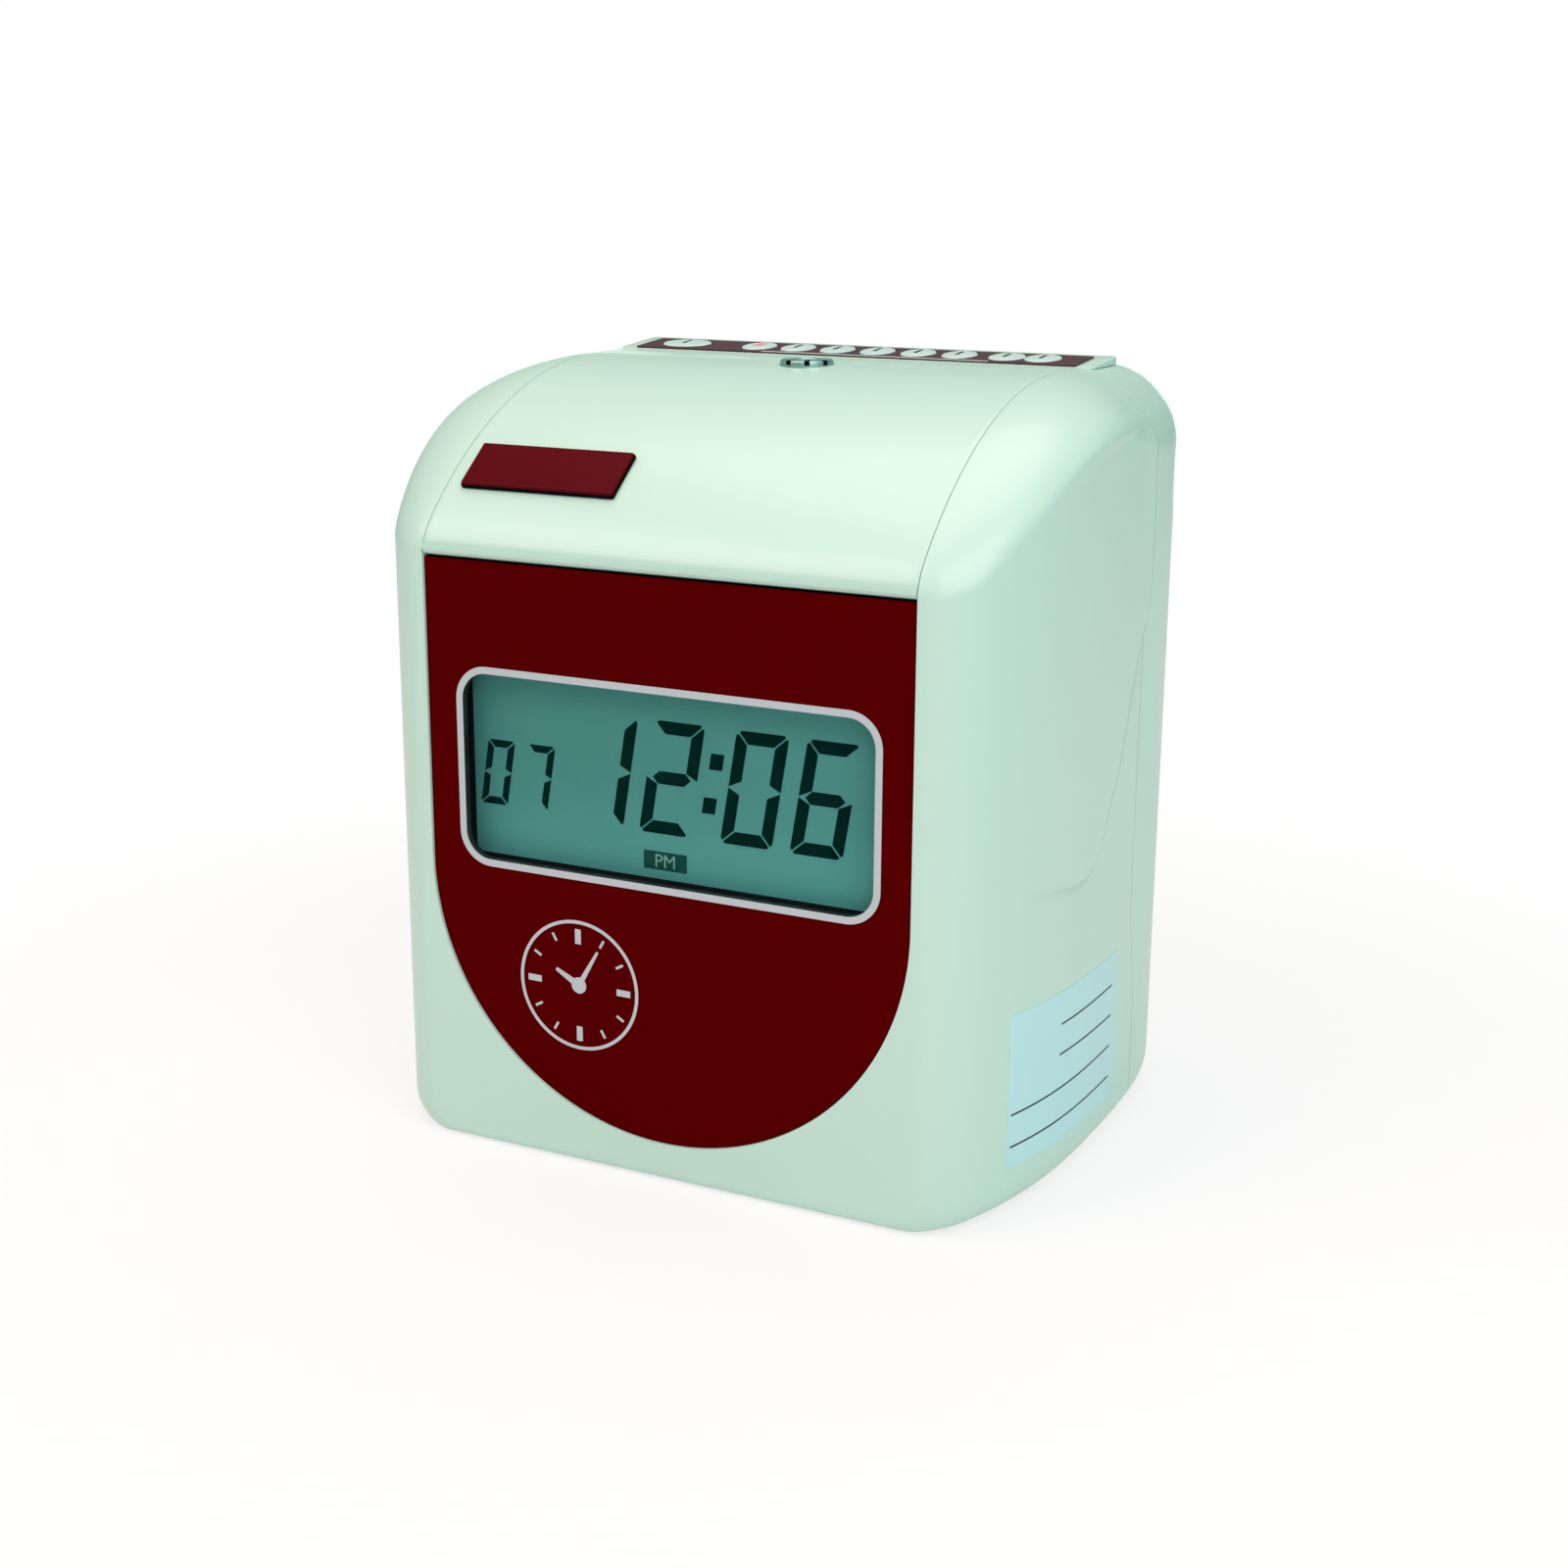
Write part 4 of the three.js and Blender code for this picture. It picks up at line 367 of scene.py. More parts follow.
def loopsPiece(name, loops, low, high, axis, node="front_housing"):
    # Many flat shapes, each carried from low to high, in one piece
    points, faces, used = [], [], 0
    for loop in loops:
        corners, sides = loopPrism(loop, low, high, axis)
        points.append(corners)
        faces += [[i + used for i in side] for side in sides]
        used += len(corners)
    return meshPiece(name, np.concatenate(points), faces, node)


def loopPiece(name, loop, low, high, axis, node="front_housing"):
    return loopsPiece(name, [loop], low, high, axis, node)


# a flat piece in one colour: print, or black that is painted shade
def printOrShadePiece(name, loops, low, high, axis, node, ink):
    settle(addFinish(loopsPiece(name, loops, low, high, axis, node), ink))


def boxLoop(x0, x1, y0, y1):
    return [(x0, y0), (x1, y0), (x1, y1), (x0, y1)]


def arcPoints(x, y, radius, turn):
    return np.stack([x + radius * np.cos(turn), y + radius * np.sin(turn)], 1)


def circleLoop(x, y, radius, count=48):
    return arcPoints(x, y, radius, np.linspace(0, 2 * pi, count, endpoint=False))


def roundedLoop(x0, x1, y0, y1, radius, steps=14):
    # A rectangle whose corners are quarter circles
    r, turn = radius, np.linspace(0, pi / 2, steps + 1)
    centres = [(x1 - r, y1 - r), (x0 + r, y1 - r), (x0 + r, y0 + r), (x1 - r, y0 + r)]
    return np.concatenate([arcPoints(*centre, r, turn + i * pi / 2) for i, centre in enumerate(centres)])


def barLoop(centre, angle, start, end, startWidth, endWidth):
    # A straight bar at an angle from the centre, with its own width at either end
    along, across = np.array([cos(angle), sin(angle)]), np.array([-sin(angle), cos(angle)])
    corners = [(start, -startWidth), (end, -endWidth), (end, endWidth), (start, startWidth)]
    return np.array([along * run + across * width / 2 + centre for run, width in corners])


# The casing's form: widths and heights as functions of y

form = Sizes(
    halfWidth=102.8, depth=165.0, bellyY=91.0, endDraw=16.7, wall=2.3, linerInset=2.25,
    topHeight=222.5, crownY=97.0, browArcRadius=127.0, browLength=5.0, browDraw=3.5,
    crownFall=0.6, fallOver=(45.0, 65.0), tailY=135.0, tailArcRadius=75.0, tailLength=6.0, tailDraw=6.0,
    frontCornerLength=11.6, frontCornerDraw=8.75, backCornerLength=13.0, backCornerDraw=9.0,
    baseCorner=9.5, bottomEdge=3.0, underZ=-1.0, seamX=75.0, shoulderPower=1.75,
    shoulderDrop=[(0, 0.76), (25, 0.54), (50, 0.42), (75, 0.46), (100, 0.68), (125, 0.88), (165, 1.0)],
    topColumns=40, columns=60,
)


def easeIn(value, start, length):
    # 0 before start, 1 after start + length, smooth between
    t = np.clip((value - start) / length, 0, 1)
    return t * t * (3 - 2 * t)


def roundOff(y, length, draw):
    # A quarter ellipse that brings an edge in by draw over the last length before an end
    t = np.clip((length - y) / length, 0, 1)
    return draw * (1 - np.sqrt(1 - t * t))


def halfWidthAt(y):
    # Widest at the belly, drawn in with the cube of the distance from it, and rounded at both ends
    reach = np.where(y < form.bellyY, form.bellyY, form.depth - form.bellyY)
    side = form.halfWidth - form.endDraw * np.abs((y - form.bellyY) / reach) ** 3
    front = roundOff(y, form.frontCornerLength, form.frontCornerDraw)
    return side - front - roundOff(form.depth - y, form.backCornerLength, form.backCornerDraw)


def topAt(y):
    # A long arc down over the display, a nearly flat crown that falls a little toward the keys, a
    # shorter arc down to the back, both ends rounded
    ahead, behind = np.maximum(form.crownY - y, 0), np.maximum(y - form.tailY, 0)
    brow = form.browArcRadius - np.sqrt(form.browArcRadius ** 2 - ahead ** 2)
    tail = form.tailArcRadius - np.sqrt(form.tailArcRadius ** 2 - behind ** 2)
    ends = roundOff(y, form.browLength, form.browDraw)
    ends = ends + roundOff(form.depth - y, form.tailLength, form.tailDraw)
    return form.topHeight - form.crownFall * easeIn(y, *form.fallOver) - brow - tail - ends


def bottomAt(y):
    edge = form.bottomEdge
    return form.underZ + roundOff(y, edge, edge) + roundOff(form.depth - y, edge, edge)


def curveThrough(at, points):
    # A smooth line through a few points: cubic pieces whose slopes are those of the neighbours' chord
    xs, ys = np.array(points, float).T
    slopes = np.gradient(ys, xs)
    i = np.clip(np.searchsorted(xs, at) - 1, 0, len(xs) - 2)
    width = xs[i + 1] - xs[i]
    t = np.clip((at - xs[i]) / width, 0, 1)
    share = t * t * (3 - 2 * t)
    bend = t * (1 - t) * width * ((1 - t) * slopes[i] - t * slopes[i + 1])
    return ys[i] * (1 - share) + ys[i + 1] * share + bend


def dropAt(y):
    # How far the shoulder comes down from the top to the side wall: a share of its width
    return (halfWidthAt(y) - form.seamX) * curveThrough(y, form.shoulderDrop)


def sectionLines(ys, inset, topFrom=None):
    # Half a section for every y: an optional run along the flat top, the shoulder as a quarter of a
    # superellipse, the straight side, the base corner as a quarter circle, and the underside to its middle
    y = np.asarray(ys, float)[:, None]
    half, top, bottom = halfWidthAt(y) - inset, topAt(y) - inset, bottomAt(y) + inset
    drop, seam, corner = dropAt(y), form.seamX, form.baseCorner - inset
    high, low = top - drop, bottom + corner
    bend = 2 / form.shoulderPower
    turn = np.linspace(0, pi / 2, form.columns + 1)[None, :]
    fall = np.linspace(0, 1, form.columns + 1)[None, 1:]
    parts = []
    if topFrom is not None:
        along = np.linspace(topFrom, seam, form.topColumns + 1)[None, :-1]
        parts.append((along + 0 * y, top + 0 * along))
    across, along = np.abs(np.sin(turn)) ** bend, np.abs(np.cos(turn)) ** bend
    parts += [(seam + (half - seam) * across, high + drop * along),
              (half + 0 * fall, high + (low - high) * fall),
              (half - corner + corner * np.cos(turn[:, 1:]), low - corner * np.sin(turn[:, 1:])),
              ((half - corner) * (1 - fall), bottom + 0 * fall)]
    return [np.concatenate(lines, 1) for lines in zip(*parts)]


def runLengths(xs, zs):
    steps = np.hypot(np.diff(xs, axis=1), np.diff(zs, axis=1))
    return np.concatenate([np.zeros((len(xs), 1)), np.cumsum(steps, 1)], 1)


def thickGrid(outer, inner, keep, closed):
    # Two grids of points with the same rows and columns make a wall. keep says which cells are there,
    # and every cell edge without a neighbour gets a face from the outer to the inner grid.
    rows, cols = outer.shape[:2]
    inside = rows * cols
    index = np.arange(inside).reshape(rows, cols)
    last = cols if closed else cols - 1
    nextCol = (np.arange(last) + 1) % cols
    a, b = index[:-1, :last], index[:-1, nextCol]
    d, c = index[1:, :last], index[1:, nextCol]
    outside = np.stack([a, b, c, d], -1)[keep]
    faces = [outside, outside[:, ::-1] + inside]
    pad = np.pad(keep, 1, constant_values=False)
    if closed:
        pad[1:-1, 0], pad[1:-1, -1] = keep[:, -1], keep[:, 0]
    sides = [(pad[:-2, 1:-1], a, b), (pad[2:, 1:-1], d, c), (pad[1:-1, :-2], a, d), (pad[1:-1, 2:], b, c)]
    for neighbour, start, end in sides:
        rim = keep & ~neighbour
        faces.append(np.stack([start[rim], end[rim], end[rim] + inside, start[rim] + inside], 1))
    points = np.concatenate([outer.reshape(-1, 3), inner.reshape(-1, 3)])
    return points, np.concatenate(faces).tolist(), index


def cellMiddles(grid, closed):
    # The middle of every cell of a grid, as x, y and z
    cols = grid.shape[1]
    here = np.arange(cols if closed else cols - 1)
    return np.moveaxis((grid[:-1, here] + grid[1:, (here + 1) % cols]) / 2, -1, 0)


def heldIn(u, v, power):
    # Points past a quarter superellipse are brought back to it: u and v start at its centre, in radii
    reach = (np.maximum(u, 0) ** power + np.maximum(v, 0) ** power) ** (1 / power)
    over = np.where((u > 0) & (v > 0), np.maximum(reach, 1), 1)
    return u / over, v / over, (u > 0) & (v > 0)


def drawnIn(points, inset):
    # Points nearer than inset to the casing's surface are brought to that depth, section by section
    x, y, z = np.array(points, float).T
    y = np.clip(y, inset, form.depth - inset)
    side, half = np.sign(x), halfWidthAt(y) - inset
    top, bottom = topAt(y) - inset, bottomAt(y) + inset
    x, z = np.minimum(np.abs(x), half), np.clip(z, bottom, top)
    drop, seam, corner = dropAt(y), form.seamX, form.baseCorner - inset
    width = np.maximum(half - seam, 0.01)
    u, v, inside = heldIn((x - seam) / width, (z - (top - drop)) / drop, form.shoulderPower)
    x, z = np.where(u > 0, seam + u * width, x), np.where(inside, top - drop + v * drop, z)
    u, v, inside = heldIn((x - half) / corner + 1, (bottom - z) / corner + 1, 2)
    x, z = np.where(inside, half + (u - 1) * corner, x), np.where(inside, bottom + (1 - v) * corner, z)
    return np.stack([x * side, y, z], 1)


def linerMesh(node, sideLimit=None):
    # The CAD part's inside, with its ribs, tubes and ledges: a merged copy whose skin is drawn in, so
    # that the fine shell covers it
    work = bmesh.new()
    work.from_mesh(cadNodes[node].data)
    bmesh.ops.remove_doubles(work, verts=work.verts, dist=placing.mergeWithin)
    moved = drawnIn(toCasing([v.co for v in work.verts]), form.linerInset)
    if sideLimit is not None:
        moved[:, 0] = np.clip(moved[:, 0], -sideLimit, sideLimit)
    for vert, place in zip(work.verts, toWorld(moved)):
        vert.co = place
    bmesh.ops.dissolve_degenerate(work, edges=work.edges, dist=0.00001)
    mesh = bpy.data.meshes.new(node + "Liner")
    work.to_mesh(mesh)
    work.free()
    return mesh


# Front housing

display = Sizes(
    halfWidth=74.85, topZ=172.33, archCentreZ=85.2, frontY=0.8, thickness=2.4, edge=0.25,
    strip=(-74.65, 74.65, 0.95, 3.9), stripZ=(172.34, 172.42),
    window=(-65.5, 66.0, 84.476, 142.676), corner=10.0, leastCorner=1.9,
    lineWidth=2.05, lineProud=0.15, lineBackY=0.95, lensFrontY=1.1, lensThickness=1.6,
    glassFrontY=8.0, glassThickness=2.2, glass=(-65.6, 64.6, 85.2, 141.6), glassCorner=3.2, glassGap=0.1,
    sleeveInset=(0.1, 2.0), sleeve=(0.97, 3.2), opening=(-64.75, 63.2, 86.2, 140.6), openingCorner=2.6,
    bezelOutset=3.2, bezel=(3.25, 6.2, 10.5), mouthInset=1.6, clearing=(-0.3, 2.6, 6.15),
)


def windowLoop(inset):
    x0, x1, z0, z1 = display.window
    radius = max(display.corner - inset, display.leastCorner)
    return roundedLoop(x0 + inset, x1 - inset, z0 + inset, z1 - inset, radius)


frontHousing = Sizes(
    tailY=104.6, partingY=108.0, archCentreZ=85.2, openHalfX=76.0, openFrontY=16.0, openTopZ=3.0,
    openMargin=0.8, edge=0.18,
    creaseHigh=[(0, 165), (14, 179.5), (24, 187.0), (35, 193.8), (49, 200.6), (71, 206.0), (90, 208.2),
                (108, 208.6)],
    creaseLow=[(0, 94), (20, 91), (44, 88.0), (56.4, 86.3), (71.7, 91.0), (80.1, 103.5), (87, 113.5),
               (93.4, 128.0), (100, 142), (108, 152)],
    nearHigh=[(14, 9), (40, 7), (70, 3.5), (96, 1.8)], steepness=[(0, 1.0), (60, 1.1), (75, 2.2), (108, 2.4)],
    nearLow=(13, 0.8, -0.8), columns=[24, 14, 40, 14, 8, 34, 10, 2, 12],
)
sideScoop = Sizes(
    highDepth=0.85, highReach=80.0, highStart=(14.0, 50.0), highEnd=(97.0, 11.0), highLeft=0.2,
    highWidth=[(14, 16), (40, 10), (70, 5), (90, 2.4), (108, 2.0)],
    lowDepth=2.0, lowStart=(38.0, 34.0), softShare=0.32, softWidth=11.0, stepWidth=0.8, stepGrowth=(96, 0.25),
    lowEnd=[(0, 57), (90, 57), (108, 34)], lowRise=32.0, shortFade=11.0, longFade=27.0, fadeChange=(97.0, 12.0),
    coverY=108.0, lastSlope=1.4, lineTone=(0.3, 0.9), lineHalf=(0.9, 1.7), lineDown=0.2,
    lineStart=(20.0, 34.0), lineClimb=(62.0, 20.0), edgeTone=0.6, edgeLine=(106.9, 0.9),
)


def scoopAt(y, z, asPaintedShade=False):
    # How far the side wall is drawn in. Under the upper crease it is hollowed a little, with a crease that
    # is soft in front and crisp behind. Past the lower crease it first turns in softly, then drops by a
    # narrow step. Behind the parting line both run out into the cover. Asked for shade, it gives instead
    # how much shade is painted on the wall: a narrow bell across the lower crease, and a band just in
    # front of the parting line.
    size = sideScoop
    ahead = np.minimum(y, size.coverY)
    high, low = [curveThrough(ahead, line) for line in (frontHousing.creaseHigh, frontHousing.creaseLow)]
    slope = (curveThrough(ahead + 0.5, frontHousing.creaseLow) - low) / 0.5
    slope = np.where(ahead > size.coverY - 1, size.lastSlope, slope)
    across = (z - low) / np.hypot(1, slope)
    if asPaintedShade:
        climbing = easeIn(ahead, *size.lineClimb)
        width, tone = [first + (last - first) * climbing for first, last in (size.lineHalf, size.lineTone)]
        line = np.exp(-((across + size.lineDown) / width) ** 2) * tone * easeIn(ahead, *size.lineStart)
        return np.maximum(line, size.edgeTone * easeIn(y, *size.edgeLine)) * (y < size.coverY + 0.5)
    upper = easeIn((high - z) / np.interp(ahead, *zip(*size.highWidth)), -0.5, 1)
    upper = upper * (1 - easeIn(high - z, 0, size.highReach)) * easeIn(ahead, *size.highStart)
    upper = upper * (1 - (1 - size.highLeft) * easeIn(ahead, *size.highEnd))
    soft = (1 - np.clip(across / size.softWidth, 0, 1)) ** 2
    growFrom, growth = size.stepGrowth
    step = easeIn(-across / (size.stepWidth + growth * np.maximum(ahead - growFrom, 0)), -0.5, 1)
    floor = easeIn(z, np.interp(ahead, *zip(*size.lowEnd)), size.lowRise) * easeIn(ahead, *size.lowStart)
    lower = (size.softShare * soft + (1 - size.softShare) * step) * floor
    fade = size.longFade + (size.shortFade - size.longFade) * easeIn(z, *size.fadeChange)
    return (size.highDepth * upper + size.lowDepth * lower) * (1 - easeIn(y - size.coverY, 0, fade))


def scooped(grid):
    # The grid's side points moved in by the scoop: from nothing at the seam to all of it at the wall
    x, y, z = np.moveaxis(grid, -1, 0)
    share = np.maximum(np.abs(x) - form.seamX, 0) / (halfWidthAt(y) - form.seamX)
    moved = np.array(grid)
    moved[..., 0] -= np.sign(x) * share * scoopAt(y, z) * (z > form.baseCorner + form.underZ)
    return moved


def mirrored(points, closed):
    # Right half columns from the top to the middle of the underside, then the left half back up
    left = points[:, -2:0 if closed else None:-1] * [-1, 1, 1]
    return np.concatenate([points, left], 1)


def housingColumns(ys, inset, marksOf, topFrom=None):
    # The sections as rows of columns, with so many columns evenly spaced between neighbouring marks
    xs, zs = sectionLines(ys, inset, topFrom)
    lengths = runLengths(xs, zs)
    marks, counts = marksOf(ys, xs, zs, lengths)
    at = [np.interp(np.arange(sum(counts) + 1), np.cumsum([0, *counts]), row) for row in marks]
    x, z = [np.stack([np.interp(*row) for row in zip(at, lengths, lines)]) for lines in (xs, zs)]
    return np.stack([x, ys[:, None] + 0 * x, z], 2)


def markAtHeight(z, zs, lengths):
    # How far along each section its line passes the height z
    return np.array([np.interp(-at, -line, run) for at, line, run in zip(z, zs, lengths)])


def frontMarks(ys, xs, zs, lengths):
    # The seam, both sides of the upper crease, above and on both sides of the lower crease, the base
    # corner's two ends, the opening in the underside, and the middle
    size, total = frontHousing, lengths[:, -1]
    sideEnd, cornerEnd = 2 * form.columns, 3 * form.columns
    high, low = curveThrough(ys, size.creaseHigh), curveThrough(ys, size.creaseLow)
    near, steep = np.interp(ys, *zip(*size.nearHigh)), np.interp(ys, *zip(*size.steepness))
    mark = markAtHeight(high, zs, lengths)
    marks = [0 * total, np.maximum(mark - near, mark * 0.4), mark + near]
    marks += [markAtHeight(low + away * steep, zs, lengths) for away in size.nearLow]
    opening = total - np.minimum(size.openHalfX, xs[:, cornerEnd] - size.openMargin)
    return np.stack(marks + [lengths[:, sideEnd], lengths[:, cornerEnd], opening, total], 1), size.columns


def windowCleared(mesh):
    # The wall behind the panel is cut back to the window's full size, so that only black shows inside it
    holder = bpy.data.objects.new("liner", mesh)
    bpy.context.scene.collection.objects.link(holder)
    inset, front, back = display.clearing
    combine(holder, [loopPiece("cutWindow", windowLoop(inset), front, back, 1)])
    cleared = holder.data
    bpy.data.objects.remove(holder)
    return cleared


def makeFrontHousing():
    size, wall, seam, centreZ = frontHousing, form.wall, form.seamX, frontHousing.archCentreZ
    nose = form.frontCornerLength * (1 - np.sin(np.linspace(0, pi / 2, 13)))
    middle = np.linspace(form.frontCornerLength, size.openFrontY, 6)[1:]
    body = np.linspace(size.openFrontY, size.tailY, 82)[1:]
    tail = np.linspace(size.tailY, size.partingY, 9)[1:]
    ys = np.concatenate([tail[::-1], body[::-1], middle[::-1], nose])
    outer = scooped(housingColumns(ys, 0.0, frontMarks))
    inner = housingColumns(np.maximum(ys, wall), wall, frontMarks)

    # the flat front face: straight lines from the section at y = 0 to the arch round the panel
    rim = outer[-1]
    run = np.concatenate([[0], np.cumsum(np.hypot(*np.diff(rim[:, [0, 2]], axis=0).T))])
    start = np.interp(-centreZ, -rim[:, 2], run)
    angle = np.clip((run - start) / (run[-1] - start), 0, 1) * pi / 2
    straight = rim[:, 2] >= centreZ
    archX = np.where(straight, seam, seam * np.cos(angle))
    archZ = np.where(straight, rim[:, 2], centreZ - seam * np.sin(angle))
    arch = np.stack([archX, 0 * archX, archZ], 1)
    share = np.linspace(0, 1, 7)[1:, None, None]
    outer = mirrored(np.concatenate([outer, rim * (1 - share) + arch * share]), False)
    inner = mirrored(np.concatenate([inner, inner[-1] * (1 - share) + (arch + [0, wall, 0]) * share]), False)

    x, y, z = cellMiddles(outer, False)
    keep = ~((np.abs(x) < size.openHalfX) & (y > size.openFrontY) & (z < size.openTopZ))
    points, faces, _ = thickGrid(outer, inner, keep, False)
    made = meshPiece("front_housing_shell", points, faces, "front_housing")
    applyModifiers(softenEdges(made, size.edge))
    joinMesh(made, windowCleared(linerMesh("front_housing")))
    # painted shade: how dark the lower crease and the parting line are painted, kept on every point for the
    # casing's finish
    x, y, z = toCasing(coordinates(made.data)).T
    held = made.data.attributes.new("paintedCreaseShade", "FLOAT", "POINT")
    held.data.foreach_set("value", (scoopAt(y, z, True) * (np.abs(x) > seam)).astype(np.float32))
    return settle(made, "front_housing")


makeFrontHousing()
print("front housing made")


# Back cover

backCover = Sizes(
    startY=108.3, hoodOpenY=116.9, hoodOpenZ=190.0, openHalfX=76.0, openBackY=150.0, openTopZ=3.0,
    openMargin=0.5, edge=0.3, scoopZ=(160.0, 142.0), skirt=(-70.3, 70.3, 119.7, 134.8),
    throat=(-50.1, 50.1, 142.6, 156.8), inlet=(-58.3, -29.7, 15.2, 36.8), screwX=70.0, screwZ=(24.0, 192.0),
    boreRadius=3.5, keyholeX=45.0, keyholeZ=176.0, keyholeRadius=4.5, slotRadius=2.2, keyholeRise=9.0,
    columns=[16, 24, 20, 14, 40, 10, 2, 14],
)


def backMarks(ys, xs, zs, lengths):
    # The middle of the top, the seam, the shoulder's end, the scoop's two ends, the base corner's two
    # ends, the opening and the middle
    size, total = backCover, lengths[:, -1]
    seam, shoulderEnd, sideEnd, cornerEnd = [form.topColumns + i * form.columns for i in range(4)]
    marks = [0 * total, lengths[:, seam], lengths[:, shoulderEnd]]
    marks += [markAtHeight(np.full(len(ys), z), zs, lengths) for z in size.scoopZ]
    opening = total - np.minimum(size.openHalfX, xs[:, cornerEnd] - size.openMargin)
    return np.stack(marks + [lengths[:, sideEnd], lengths[:, cornerEnd], opening, total], 1), size.columns


def keyholeLoop(x):
    # Most of a circle for the screw's head, and half a circle above it for its shank
    size = backCover
    angle = np.arcsin(size.slotRadius / size.keyholeRadius)
    arcs = [(np.linspace(pi / 2 + angle, 2.5 * pi - angle, 40), size.keyholeRadius, size.keyholeZ),
            (np.linspace(0, pi, 16), size.slotRadius, size.keyholeZ + size.keyholeRise)]
    return np.concatenate([arcPoints(x, z, radius, turn) for turn, radius, z in arcs])


def makeBackCover():
    size, wall = backCover, form.wall
    start = np.linspace(size.startY, size.hoodOpenY, 9)
    middle = np.linspace(size.hoodOpenY, size.openBackY, 31)[1:]
    join = np.linspace(size.openBackY, form.depth - form.backCornerLength, 3)[1:]
    turn = np.append(np.linspace(0, pi / 2, 15)[:-1], pi / 2)
    end = form.depth - form.backCornerLength * (1 - np.sin(turn))[1:]
    ys = np.concatenate([start, middle, join, end])
    outer = mirrored(scooped(housingColumns(ys, 0.0, backMarks, 0.0)), True)
    inner = mirrored(housingColumns(np.minimum(ys, form.depth - wall), wall, backMarks, 0.0), True)
    x, y, z = cellMiddles(outer, True)
    under = (np.abs(x) < size.openHalfX) & (y < size.openBackY) & (z < size.openTopZ)
    lid = (np.abs(x) < form.seamX) & (y < size.hoodOpenY) & (z > size.hoodOpenZ)
    points, faces, index = thickGrid(outer, inner, ~under & ~lid, True)
    # the back wall closes both grids, so the rim faces of the last row come off again
    lastRow = set(index[-1].tolist())
    faces = [f for f in faces if not (f[0] in lastRow and f[1] in lastRow)]
    faces += [index[-1].tolist(), (index[-1] + index.size).tolist()[::-1]]
    made = meshPiece("back_cover_shell", points, faces, "back_cover")
    applyModifiers(softenEdges(made, size.edge))
    cutters = [loopPiece("cutSkirt", boxLoop(*size.skirt), 210, 240, 2),
               loopPiece("cutThroat", boxLoop(*size.throat), 200, 240, 2)]
    bores = [circleLoop(side * size.screwX, z, size.boreRadius) for side in (-1, 1) for z in size.screwZ]
    cutters += [loopPiece("cutBore", bore, 155, 170, 1) for bore in bores]
    holes = [keyholeLoop(-size.keyholeX), keyholeLoop(size.keyholeX), boxLoop(*size.inlet)]
    cutters += [loopPiece("cutHole", hole, 158, 170, 1) for hole in holes]
    smoothed(combine(made, cutters))
    joinMesh(made, linerMesh("back_cover"))
    return settle(made, "back_cover")


makeBackCover()
print("back cover made")


# Hood: one profile in y and z, carried across between its two side seams

hoodPart = Sizes(
    halfWidth=74.7, backY=116.6, hingeY=3.2, hingeZ=176.376, lipRadius=3.5, cornerRadius=3.95, lowerZ=173.176,
    lipInY=5.4, lipOutY=4.0, lockY=90.4, seatRadius=8.1, edge=0.16, linerGap=0.2,
    columns=(-1, -0.98, -0.5, -0.2, 0.2, 0.5, 0.98, 1),
)


def makeHood():
    # The lip stands straight in front, and its lower corner is a short arc round the hinge line
    size = hoodPart
    dense = np.linspace(0, 1, 400) ** 2 * 6
    reach = np.hypot(dense - size.hingeY, topAt(dense) - size.hingeZ)
    meet = dense[np.argmax(reach < size.lipRadius)]
    startAngle = np.arcsin((size.lowerZ - size.hingeZ) / size.cornerRadius)
    straightAngle = -np.arccos(size.lipRadius / size.cornerRadius)
    endAngle = np.arctan2(topAt(np.array(meet)) - size.hingeZ, meet - size.hingeY)
    arcs = [(size.cornerRadius, np.linspace(-pi - startAngle, -pi - straightAngle, 6)),
            (size.lipRadius, np.linspace(-pi, (endAngle - 2 * pi) if endAngle > 0 else endAngle, 10))]
    lip = [arcPoints(size.hingeY, size.hingeZ, radius, turn) for radius, turn in arcs]
    near = meet + (form.browLength + 1 - meet) * np.linspace(0, 1, 26)[1:] ** 2
    over = np.concatenate([near, np.linspace(form.browLength + 1, size.backY, 90)[1:]])
    back = np.linspace(size.backY, size.lipInY, 80)
    bottom = [[size.lipInY, size.lowerZ], [size.lipOutY, size.lowerZ]]
    outer, inner = np.stack([over, topAt(over)], 1), np.stack([back, topAt(back) - form.wall], 1)
    loop = np.concatenate([*lip, outer, inner, bottom])
    here = np.arange(len(loop))
    points = [np.insert(loop, 0, x * size.halfWidth, axis=1) for x in size.columns]
    last = (len(size.columns) - 1) * len(loop)
    faces = ringFaces(len(loop), len(size.columns)) + [here.tolist(), (here + last)[::-1].tolist()]
    made = meshPiece("hood_shell", np.concatenate(points), faces, "hood")
    applyModifiers(softenEdges(made, size.edge))
    seat = circleLoop(0, size.lockY, size.seatRadius, 72)
    smoothed(combine(made, [loopPiece("cutLock", seat, 200, 240, 2)]))
    joinMesh(made, linerMesh("hood", size.halfWidth - size.linerGap))
    return settle(made, "hood")


makeHood()
print("hood made")


# Display panel, line, lens and glass

def raysTo(loop, centre, angles):
    # Where rays from centre meet a convex loop: the farthest crossing with its edges
    area = lambda a, b: a[..., 0] * b[..., 1] - a[..., 1] * b[..., 0]
    start = loop - centre
    edge = np.roll(start, -1, 0) - start
    ray = np.stack([np.cos(angles), np.sin(angles)], 1)[:, None]
    cross = np.where(np.abs(area(ray, edge)) < 1e-9, 1e-9, area(ray, edge))
    along, share = area(start, edge) / cross, area(start, ray) / cross
    good = (share > -1e-6) & (share < 1 + 1e-6) & (along > 0)
    return centre + ray[:, 0] * np.where(good, along, 0).max(1)[:, None]


